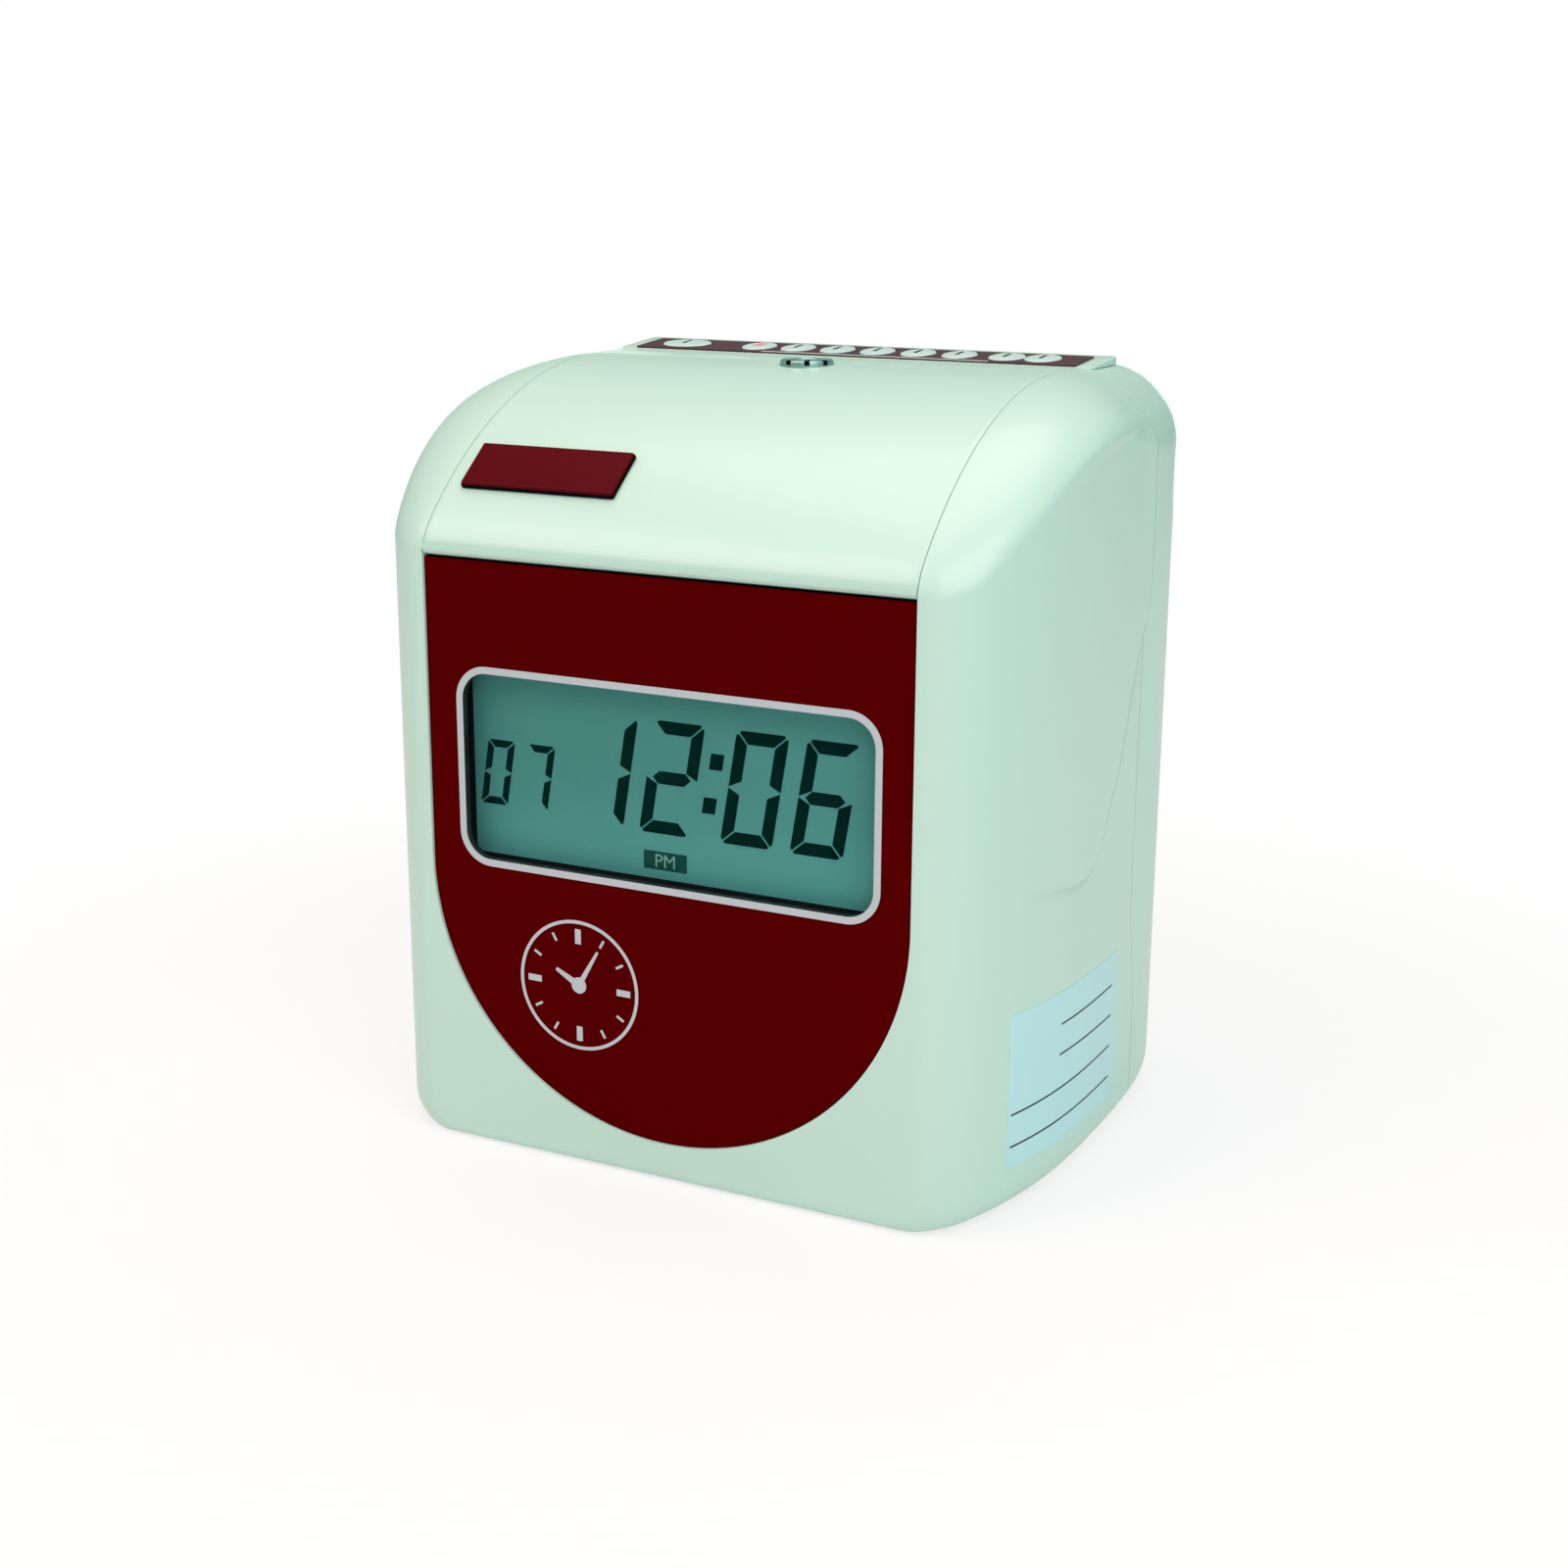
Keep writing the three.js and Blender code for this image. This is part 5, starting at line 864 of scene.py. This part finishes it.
def ringPlate(name, outside, inside, y0, y1, node, edge):
    # A flat plate with one hole: both rims are met by the same rays from the middle of the hole
    centre = inside.mean(0)
    corners = np.concatenate([outside, inside]) - centre
    angles = np.unique(np.round(np.arctan2(corners[:, 1], corners[:, 0]), 6))
    out, hole = raysTo(outside, centre, angles), raysTo(inside, centre, angles)
    rings = [np.insert(rim, 1, y, 1) for rim, y in ((out, y0), (hole, y0), (hole, y1), (out, y1))]
    return softenEdges(ringsPiece(name, rings, node, 35, True), edge, 60)


def makePanel():
    size, front = display, display.frontY
    half = size.halfWidth
    arch = arcPoints(0, size.archCentreZ, half, np.linspace(0, -pi, 121))
    outline = np.concatenate([arch, [[-half, size.topZ], [half, size.topZ]]])
    plate = ringPlate("display_panel", outline, windowLoop(0), front, front + size.thickness, "front_panel",
                      size.edge)
    settle(plate, "front_panel")
    # a black strip in the gap under the hood's lower edge: painted shadow of the gap
    printOrShadePiece("hood_gap_shadow_strip", [boxLoop(*size.strip)], *size.stripZ, 2, "front_housing", "maskInk")
    line = ringPlate("window_trim_line", windowLoop(0.03), windowLoop(size.lineWidth), front - size.lineProud,
                     size.lineBackY, "window_line", 0.05)
    settle(line, "window_line")
    for name, loop, start, thickness, node, edge in (
            ("lcd_pane", roundedLoop(*size.glass, size.glassCorner), size.glassFrontY, size.glassThickness,
             "lcd_glass", 0.2),
            ("window_pane", windowLoop(size.lineWidth + 0.1), size.lensFrontY, size.lensThickness,
             "window_lens", 0.15)):
        settle(softenEdges(loopPiece(name, loop, start, start + thickness, 1, node), edge, 60), node)
    sleeve = [windowLoop(inset) for inset in size.sleeveInset]
    settle(ringPlate("window_sleeve", *sleeve, *size.sleeve, "lcd_frame", 0.04))


def makeBezel():
    # A black block with a mouth that runs from the window's rounded form to the glass, and a pocket for it
    size = display
    front, middle, back = size.bezel
    end, gap = size.glassFrontY - 0.02, size.glassGap
    made = loopPiece("lcd_bezel", windowLoop(-size.bezelOutset), middle, back, 1, "lcd_frame")
    combine(made, [loopPiece("bezelNose", windowLoop(0.0), front, middle + 0.1, 1)], "UNION")
    mouth = windowLoop(size.mouthInset)
    hole = roundedLoop(*size.opening, size.openingCorner)
    stretch = (end - front) / (end - front + 1)
    points, faces = loopPrism(hole, front - 1, end, 1)
    points[:len(hole), [0, 2]] = hole + (mouth - hole) / stretch
    x0, x1, z0, z1 = size.glass
    pocket = roundedLoop(x0 - gap, x1 + gap, z0 - gap, z1 + gap, size.glassCorner)
    combine(made, [meshPiece("bezelMouth", points, faces, "lcd_frame"),
                   loopPiece("bezelPocket", pocket, size.glassFrontY - 0.05, back + 1, 1)])
    return settle(addFinish(smoothed(made, 30), "maskInk"), "lcd_frame")


makePanel()
makeBezel()

digitForm = Sizes(
    slant=0.165, rise=(7.93, 8.06), gap=0.16,
    big=Sizes(baseZ=99.35, width=15.75, height=32.25, thick=3.65, cut=1.5, xs=(-31.7, -10.8, 14.65, 35.8),
              lit=("bc", "abged", "abcdef", "afgedc")),
    small=Sizes(baseZ=100.9, width=8.95, height=19.1, thick=2.15, cut=0.8, xs=(-63.0, -49.7),
                lit=("abcdef", "abc")),
    dot=(0, 4.05, 0, 4.55), dots=((7.75, 107.05), (7.98, 119.6)), flag=(-9.35, 4.3, 88.8, 94.1),
    flagRise=(7.95, 8.04), letters="PM", letterSize=5.382, letterUp=0.8, letterRise=(7.9, 7.97),
)


def segmentShapes(size, g):
    # The seven bars in an upright cell: ends mitred at 45 degrees, the cell's corners cut off, gaps of g
    w, h, t, c = size.width, size.height, size.thick, size.cut
    m, s = h / 2, t / 2
    top = [(c / 2 + g, h - c / 2 + g), (c, h), (w - c, h), (w - c / 2 - g, h - c / 2 + g),
           (w - t - 2 * g, h - t), (t + 2 * g, h - t)]
    rightHigh = [(w, h - c), (w, m + g), (w - t, m + s + g), (w - t, h - t - 2 * g),
                 (w - c / 2 + g, h - c / 2 - g)]
    middle = [(s + g, m), (t + g, m + s), (w - t - g, m + s), (w - s - g, m), (w - t - g, m - s),
              (t + g, m - s)]
    flipZ = lambda shape: [(x, h - z) for x, z in shape]
    flipX = lambda shape: [(w - x, z) for x, z in shape]
    return {"a": top, "b": rightHigh, "c": flipZ(rightHigh), "d": flipZ(top), "e": flipX(flipZ(rightHigh)),
            "f": flipX(rightHigh), "g": middle}


def slanted(shape, x, z):
    moved = np.array(shape, float)
    return moved + np.stack([x + moved[:, 1] * digitForm.slant, np.full(len(moved), z)], 1)


def makeDigits():
    size, loops = digitForm, []
    for group in (size.big, size.small):
        bars = segmentShapes(group, size.gap)
        for x, lit in zip(group.xs, group.lit):
            loops += [slanted(bars[bar], x, group.baseZ) for bar in lit]
    loops += [slanted(boxLoop(*size.dot), x + (z - size.big.baseZ) * size.slant, z) for x, z in size.dots]
    printOrShadePiece("lcd_segments", loops, *size.rise, 1, "lcd_glass", "segmentInk")
    printOrShadePiece("lcd_flag", [boxLoop(*size.flag)], *size.flagRise, 1, "lcd_glass", "flagInk")


def makeLetters():
    # Plain letters as a flat curve, made a mesh and laid on the flag
    size = digitForm
    x0, x1, z0, _ = size.flag
    front, back = size.letterRise
    curve = bpy.data.curves.new("letters", "FONT")
    curve.body, curve.size = size.letters, size.letterSize
    curve.align_x = "CENTER"
    curve.extrude = (back - front) / 2
    curve.resolution_u = 3
    holder = bpy.data.objects.new("letters", curve)
    bpy.context.scene.collection.objects.link(holder)
    bpy.context.view_layer.update()
    mesh = bpy.data.meshes.new_from_object(holder.evaluated_get(bpy.context.evaluated_depsgraph_get()))
    bpy.data.objects.remove(holder)
    x, z, y = coordinates(mesh).T
    placed = np.stack([x + (x0 + x1) / 2, (front + back) / 2 - y, z + z0 + size.letterUp], 1)
    faces = [list(face.vertices) for face in mesh.polygons]
    return settle(addFinish(meshPiece("lcd_flag_letters", placed, faces, "lcd_glass"), "letterInk"))


makeDigits()
makeLetters()

# A plain clock face printed low on the panel: a thin ring, twelve ticks, two hands and a hub
dialPrint = Sizes(
    centre=(-26.9, 53.2), radius=19.4, ring=1.0, inset=1.6, tick=(2.6, 0.75), quarter=(4.4, 1.9), hub=2.4,
    hands=((12.6, 60.0, 1.7), (8.4, 152.0, 2.3)), taper=0.45, rise=(0.68, 0.86), handStep=0.02,
)


def makeDialPrint():
    size = dialPrint
    centre, (front, back) = size.centre, size.rise
    outer, inner = size.radius, size.radius - size.ring
    rims = [circleLoop(*centre, radius, 120) for radius in (outer, inner)]
    settle(ringPlate("dial_ring", *rims, front, back, "window_line", 0.02))
    loops, end = [circleLoop(*centre, size.hub, 40)], inner - size.inset
    for i in range(12):
        length, wide = size.tick if i % 3 else size.quarter
        loops.append(barLoop(centre, i * pi / 6, end - length, end, wide, wide))
    printOrShadePiece("dial_marks", loops, front, back, 1, "window_line", "print_pale")
    for i, (length, angle, wide) in enumerate(size.hands, 1):
        hand = barLoop(centre, radians(angle), 0, length, wide, wide * size.taper)
        printOrShadePiece(f"dial_hand_{i}", [hand], front + size.handStep * i, back, 1, "window_line", "print_pale")


makeDialPrint()
print("display made")


# Keys, film and console on top

keyDeck = Sizes(
    topZ=221.6, frontY=116.9, backY=139.5, halfWidth=79.0, frontProud=0.4, backProud=2.3, lowProud=0.05,
    corner=2.2, edge=0.15, skirt=(-70.0, 70.0, 120.0, 134.5), skirtCorner=1.0, skirtLowZ=213.5, skirtRise=0.9,
    wall=1.6, film=(-73.3, 73.3, 117.25, 134.6), filmCorner=0.8, filmLift=0.1, filmThickness=0.4,
    middleY=126.8, keyDepth=13.0, capHeight=0.8, capThickness=2.0, crown=0.28, crownFall=0.38, rimRound=0.5,
    stemRadius=2.2, stemLowZ=219.8, holeGap=0.3, steps=56,
    caps=[(-59.9, 16.2)] + [(-34.1 + 13.5 * i, 10.7) for i in range(6)] + [(48.6, 11.0), (60.0, 11.0)],
    strip=(-29.0, 46.0, 117.45, 118.6), stripRise=(-0.1, 0.04), mark=(2.7, 1.1, 3.2), markRise=(0.1, 0.3),
)


def deckZ(y):
    size = keyDeck
    slope = (size.backProud - size.frontProud) / (size.backY - size.frontY)
    return size.topZ + size.frontProud + slope * (y - size.frontY)


def tilted(made):
    # Every point is lifted by what the console's slope adds at its place
    points = toCasing(coordinates(made.data))
    points[:, 2] += deckZ(points[:, 1]) - keyDeck.topZ
    made.data.vertices.foreach_set("co", toWorld(points).ravel())
    made.data.update()
    return made


def keyLoop(x, halfX, halfY):
    return circleLoop(0, 0, 1, keyDeck.steps) * [halfX, halfY] + [x, keyDeck.middleY]


def keyHoles(low, high):
    size = keyDeck
    return [loopPiece("keyHole", keyLoop(x, width / 2 + size.holeGap, size.keyDepth / 2 + size.holeGap),
                      size.topZ + low, size.topZ + high, 2) for x, width in size.caps]


def makeDeck():
    size, wall = keyDeck, keyDeck.wall
    rim = roundedLoop(-size.halfWidth, size.halfWidth, size.frontY, size.backY, size.corner, 6)
    points, faces = loopPrism(rim, size.topZ + size.lowProud, size.topZ + size.frontProud, 2)
    points[len(rim):, 2] = deckZ(points[len(rim):, 1])
    made = meshPiece("key_console_deck", points, faces, "key_console")
    applyModifiers(softenEdges(made, size.edge, 50, 3))
    skirt = roundedLoop(*size.skirt, size.skirtCorner, 3)
    combine(made, [loopPiece("skirtBody", skirt, size.skirtLowZ, size.topZ + size.skirtRise, 2)], "UNION")
    x0, x1, y0, y1 = size.skirt
    hollow = roundedLoop(x0 + wall, x1 - wall, y0 + wall, y1 - wall, 0.6, 2)
    cutters = [loopPiece("deckHollow", hollow, size.skirtLowZ - 2, size.topZ - wall, 2)]
    return settle(smoothed(combine(made, cutters + keyHoles(-6, 9))), "key_console")


def makeFilm():
    size = keyDeck
    low, rim = size.topZ + size.filmLift, roundedLoop(*size.film, size.filmCorner, 4)
    made = loopPiece("key_film_sheet", rim, low, low + size.filmThickness, 2, "key_film")
    return settle(smoothed(tilted(combine(made, keyHoles(-2, 3)))), "key_film")


def makeKey(number, x, width):
    # Rings of an ellipse: a low crown over the cap, a rounded rim, a straight side and a flat underside,
    # with a round stem below. Each ring has its share of the ellipse and its height.
    size, top = keyDeck, keyDeck.capHeight
    low, crown = top - size.capThickness, top + size.crown
    shares = [(0.0, crown)] + [(s, crown - size.crownFall * s ** 2) for s in np.linspace(0.15, 0.9, 8)]
    shares += [(0.9 + 0.1 * sin(a), top - 0.03 - size.rimRound * (1 - cos(a)))
               for a in np.linspace(0.2, pi / 2, 6)]
    shares += [(1.0, low + 0.2), (0.97, low)]
    rings = []
    for share, height in shares:
        loop = keyLoop(x, share * width / 2, share * size.keyDepth / 2)
        rings.append(np.column_stack([loop, deckZ(loop[:, 1]) + height]))
    radius, stemLow = size.stemRadius, size.stemLowZ
    stem = [(radius, deckZ(size.middleY) + low), (radius, stemLow + 0.3), (radius - 0.3, stemLow), (0, stemLow)]
    rings += [np.insert(keyLoop(x, r, r), 2, z, axis=1) for r, z in stem]
    return settle(ringsPiece(f"key_cap_{number}", rings, f"key_{number}", 50), f"key_{number}")


def makeKeyPrint():
    # A pale strip along the film's front edge, and a plain stroke on every cap, wide and rose on the second
    size = keyDeck
    low, high = [size.topZ + size.filmLift + size.filmThickness + rise for rise in size.stripRise]
    strip = loopPiece("film_edge_strip", roundedLoop(*size.strip, 0.3, 3), low, high, 2, "key_film")
    settle(addFinish(tilted(strip), "key_plastic"))
    reach, plain, broad = size.mark
    low, high = [size.topZ + size.capHeight + rise for rise in size.markRise]
    for number, (x, _) in enumerate(size.caps, 1):
        wide, ink = (broad, "roseInk") if number == 2 else (plain, "darkInk")
        bar = barLoop((x, size.middleY), pi / 2, -reach, reach, wide, wide)
        mark = loopPiece(f"key_marks_{number}", bar, low, high, 2, f"key_{number}")
        settle(addFinish(tilted(mark), ink))


makeDeck()
makeFilm()
makeKeyPrint()
for number, (x, width) in enumerate(keyDeck.caps, 1):
    makeKey(number, x, width)
print("keys made")


# Lock: turned parts, a profile of radius and height carried round the lock's line

lockForm = Sizes(
    y=90.4, faceRadius=7.8, faceProud=1.4, bodyRadius=5.6, plugRadius=3.6, plugGap=0.25, plugDeep=0.3,
    bodyLength=15.0, seatZ=221.03, camTopZ=206.03, tailZ=201.93, keyHalfX=0.65, keyHalfY=2.6, keyDepth=6.0,
    shutter=(0.1, 1.2, 0.02), notch=(5.9, 7.86, 1.6), notchRise=(0.1, 0.03), notchAngles=(252, 296, 340),
)


def turned(name, profile, x, y, node, steps, closed=False):
    unit = circleLoop(0, 0, 1, steps)
    rings = [np.insert(unit * radius + [x, y], 2, height, axis=1) for radius, height in profile]
    return ringsPiece(name, rings, node, 40, closed)


def makeLock():
    size, y = lockForm, lockForm.y
    seat, bodyLow, body = size.seatZ, size.seatZ - size.bodyLength, size.bodyRadius
    face = float(topAt(np.array(y)))
    top = face + size.faceProud
    r, bore = size.faceRadius, size.plugRadius + size.plugGap
    ring = [(bore, top - 0.25), (bore + 0.25, top - 0.02), (bore + 0.9, top), (r - 1.6, top),
            (r - 1.25, top - 0.22), (r - 0.9, top - 0.22), (r - 0.55, top), (r - 0.3, top - 0.04),
            (r - 0.08, top - 0.2), (r, top - 0.45), (r, seat), (body, seat), (body, bodyLow), (bore, bodyLow)]
    settle(turned("lock_bezel", ring, 0, y, "lock_body", 96, True), "lock_body")
    p, tail, high = size.plugRadius, size.tailZ, top - size.plugDeep
    core = [(0, high), (p - 0.5, high), (p - 0.2, high - 0.06), (p - 0.04, high - 0.22), (p, high - 0.4),
            (p, size.camTopZ), (p / 2, size.camTopZ), (p / 2, tail + 0.3), (p / 2 - 0.3, tail), (0, tail)]
    made = turned("lock_core", core, 0, y, "lock_plug", 64)
    slot = [-size.keyHalfX, size.keyHalfX, y - size.keyHalfY, y + size.keyHalfY]
    combine(made, [loopPiece("keyway", roundedLoop(*slot, 0.3, 3), high - size.keyDepth, high + 3, 2)])
    settle(smoothed(made, 40), "lock_plug")
    # a black plate down in the keyway, painted shade of its depth, and three black bars on the front of the
    # ring, painted shade of notches
    grow, deep, proud = size.shutter
    wider = roundedLoop(*(np.array(slot) + [-grow, grow, -grow, grow]), 0.35, 3)
    printOrShadePiece("keyway_shade_plate", [wider], high - deep, high + proud, 2, "lock_plug", "maskInk")
    start, end, wide = size.notch
    loops = [barLoop((0, y), radians(angle), start, end, wide, wide) for angle in size.notchAngles]
    low, proud = size.notchRise
    printOrShadePiece("lock_notch_shades", loops, face + low, top + proud, 2, "lock_body", "maskInk")


makeLock()
print("lock made")


# Badge on the hood's slope, label on the side, feet

badgeForm = Sizes(x=-44.7, y=18.7, length=48.9, height=16.0, corner=0.5, edge=1.0, plate=(0.0, 0.35, 1.95),
                  pad=(0.32, 0.1, 0.9))


def makeBadge():
    # Plate and pad lie along the slope; each has its growth beyond the plate, its underside and its top. The
    # black pad round the plate's foot is painted shade under its edges.
    size = badgeForm
    step = size.height / 4
    rise = topAt(np.array([size.y - step, size.y + step]))
    slope = atan2(rise[1] - rise[0], 2 * step)
    turn = np.array([[1, 0, 0], [0, cos(slope), -sin(slope)], [0, sin(slope), cos(slope)]])
    place = [size.x, size.y, float(topAt(np.array(size.y)))]
    made = []
    for name, (grow, low, high) in (("badge", size.plate), ("badge_shade_pad", size.pad)):
        halfX, halfY = size.length / 2 + grow, size.height / 2 + grow
        loop = roundedLoop(-halfX, halfX, -halfY, halfY, size.corner + grow, 5)
        points, faces = loopPrism(loop, low, high, 2)
        made.append(meshPiece(name, points @ turn.T + place, faces, "badge_plate"))
    settle(softenEdges(made[0], size.edge, 50, 3), "badge_plate")
    # the black pad: painted shade round the plate's lower edges
    settle(addFinish(made[1], "maskInk"))


makeBadge()

# place: front, back, bottom and top; rules: front, back, and the height of either end
labelForm = Sizes(
    place=(22.0, 89.4, 13.5, 58.3), fall=1.4, proud=0.12, deep=0.15, rule=0.55, ruleProud=0.15,
    rules=[(47.5, 85.5, 47.8, 47.2), (47.0, 85.5, 38.9, 37.9), (23.0, 85.5, 28.8, 28.4),
           (23.0, 85.5, 19.4, 18.7)],
)


def sideSheet(name, place, proud, deep, rows, cols, fall):
    # A thin sheet that follows the right wall; fall is how much lower its back end is than its front end
    y0, y1, z0, z1 = place
    ys, zs = np.meshgrid(np.linspace(y0, y1, cols), np.linspace(z0, z1, rows))
    zs = zs - fall * (ys - y0) / (y1 - y0)
    wall = halfWidthAt(ys) - scoopAt(ys, zs)
    outer, inner = [np.stack([wall + out, ys, zs], -1) for out in (proud, -deep)]
    points, faces, _ = thickGrid(outer, inner, np.ones((rows - 1, cols - 1), bool), False)
    return meshPiece(name, points, faces, "side_label")


def makeLabel():
    size = labelForm
    settle(sideSheet("rating_film", size.place, size.proud, size.deep, 3, 60, size.fall), "side_label")
    for i, (y0, y1, z, zBack) in enumerate(size.rules, 1):
        rule = sideSheet(f"label_rule_{i}", (y0, y1, z, z + size.rule), size.ruleProud, 0.0, 2, 40, z - zBack)
        settle(addFinish(rule, "darkInk"))


makeLabel()

footForm = Sizes(x=62.0, ys={"front": 28.0, "back": 138.0}, radius=7.5, proud=1.5)


def makeFoot(node, x, y):
    low, high = -footForm.proud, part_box(node)[1].z / placing.scale - placing.footProud
    r = footForm.radius
    pad = [(0, low + 0.25), (r - 2.2, low + 0.25), (r - 1.9, low), (r - 0.6, low), (r - 0.15, low + 0.2),
           (r, low + 0.6), (r, high), (0, high)]
    settle(turned(node + "_pad", pad, x, y, node, 48), node)


for end, y in footForm.ys.items():
    makeFoot(f"foot_{end}_left", -footForm.x, y)
    makeFoot(f"foot_{end}_right", footForm.x, y)
print("badge, label and feet made")


# Floor, light and camera

stageForm = Sizes(halfSize=4.0, near=0.17, far=0.42, whiteShare=0.72, inGloss=0.35,
                  skyColour=(0.6, 1.0, 0.99, 1), skyStrength=0.277)


def makeStage():
    size, half = stageForm, stageForm.halfSize
    mesh = bpy.data.meshes.new("floor")
    mesh.from_pydata([(*corner, 0) for corner in boxLoop(-half, half, -half, half)], [], [(0, 1, 2, 3)])
    floor = bpy.data.objects.new("floor", mesh)
    bpy.context.scene.collection.objects.link(floor)
    made = Finish("paleFloor")
    # seen directly, the floor is partly white of its own and fully white further out; it keeps the shadow
    place = made.node("ShaderNodeVectorMath", {0: made.place()}, "Value", operation="LENGTH")
    away = made.node("ShaderNodeMapRange", {"Value": place, "From Min": size.near, "From Max": size.far,
                                            "To Min": size.whiteShare, "To Max": 1.0},
                     interpolation_type="SMOOTHSTEP")
    camera, glossy, through = [made.node("ShaderNodeLightPath", output=key) for key in
                               ("Is Camera Ray", "Is Glossy Ray", "Is Transmission Ray")]
    tone = made.blend(made.noise(40.0, 3.0), paint((247, 247, 247)), paint((250, 250, 250)))
    plain = made.node("ShaderNodeBsdfDiffuse", {"Color": tone})
    glow = made.node("ShaderNodeEmission", {"Color": (1, 1, 1, 1), "Strength": 1.0})
    share = ((camera + through).clamped() * away + glossy * size.inGloss).clamped()
    mesh.materials.append(made.shown(made.node("ShaderNodeMixShader", {0: share, 1: plain, 2: glow})))


def makeWorld():
    # Rays from the camera see white, all others a faint cool light
    made = Finish("studio", "worlds")
    bpy.context.scene.world = made.owner
    camera = made.node("ShaderNodeLightPath", output="Is Camera Ray")
    soft = made.node("ShaderNodeBackground", {"Color": stageForm.skyColour, "Strength": stageForm.skyStrength})
    white = made.node("ShaderNodeBackground", {"Color": (1, 1, 1, 1), "Strength": 1.0})
    mixed = made.node("ShaderNodeMixShader", {0: camera, 1: soft, 2: white})
    made.node("ShaderNodeOutputWorld", {"Surface": mixed})


# place, height of the point it is turned to, width and height, watts, colour
lights = {
    "keySoftbox": ((0.72, -0.68, 1.0), 0.12, (1.1, 1.0), 10.5, (1.0, 0.88, 0.91)),
    "leftSoftbox": ((-0.65, -0.75, 1.15), 0.12, (0.9, 0.7), 7.4, (1.0, 0.64, 0.56)),
    "topSoftbox": ((-0.1, 0.15, 1.4), 0.12, (1.0, 1.0), 7.9, (1.0, 0.76, 0.665)),
    "backFill": ((-0.5, 1.0, 0.16), 0.1, (1.0, 0.28), 2.6, (0.8, 1.0, 0.98)),
}


def areaLight(name, place, targetZ, size, energy, colour):
    light = bpy.data.lights.new(name, "AREA")
    light.shape = "RECTANGLE"
    light.size, light.size_y = size
    light.energy, light.color = energy, colour
    made = bpy.data.objects.new(name, light)
    made.location = place
    made.rotation_euler = (Vector((0, 0, targetZ)) - Vector(place)).to_track_quat("-Z", "Y").to_euler()
    bpy.context.scene.collection.objects.link(made)


cameraForm = Sizes(place=(0.292735, -0.596805, 0.278564), azimuth=26.345, down=15.231, roll=0.315,
                   focalPixels=2305.6, imagePixels=1600.0, sensor=36.0)


def makeCamera():
    size = cameraForm
    camera = bpy.data.cameras.new("camera")
    camera.sensor_fit, camera.sensor_width = "HORIZONTAL", size.sensor
    camera.lens = size.focalPixels / size.imagePixels * size.sensor
    camera.clip_start = 0.01
    made = bpy.data.objects.new("camera", camera)
    made.location = size.place
    upright = Euler((radians(90 - size.down), 0, radians(size.azimuth)))
    made.rotation_euler = (upright.to_matrix() @ Matrix.Rotation(radians(size.roll), 3, "Z")).to_euler()
    bpy.context.scene.collection.objects.link(made)
    bpy.context.scene.camera = made


makeStage()
makeWorld()
for name, row in lights.items():
    areaLight(name, *row)
makeCamera()
bpy.context.scene.view_settings.view_transform = "Standard"
print("stage, light and camera made")
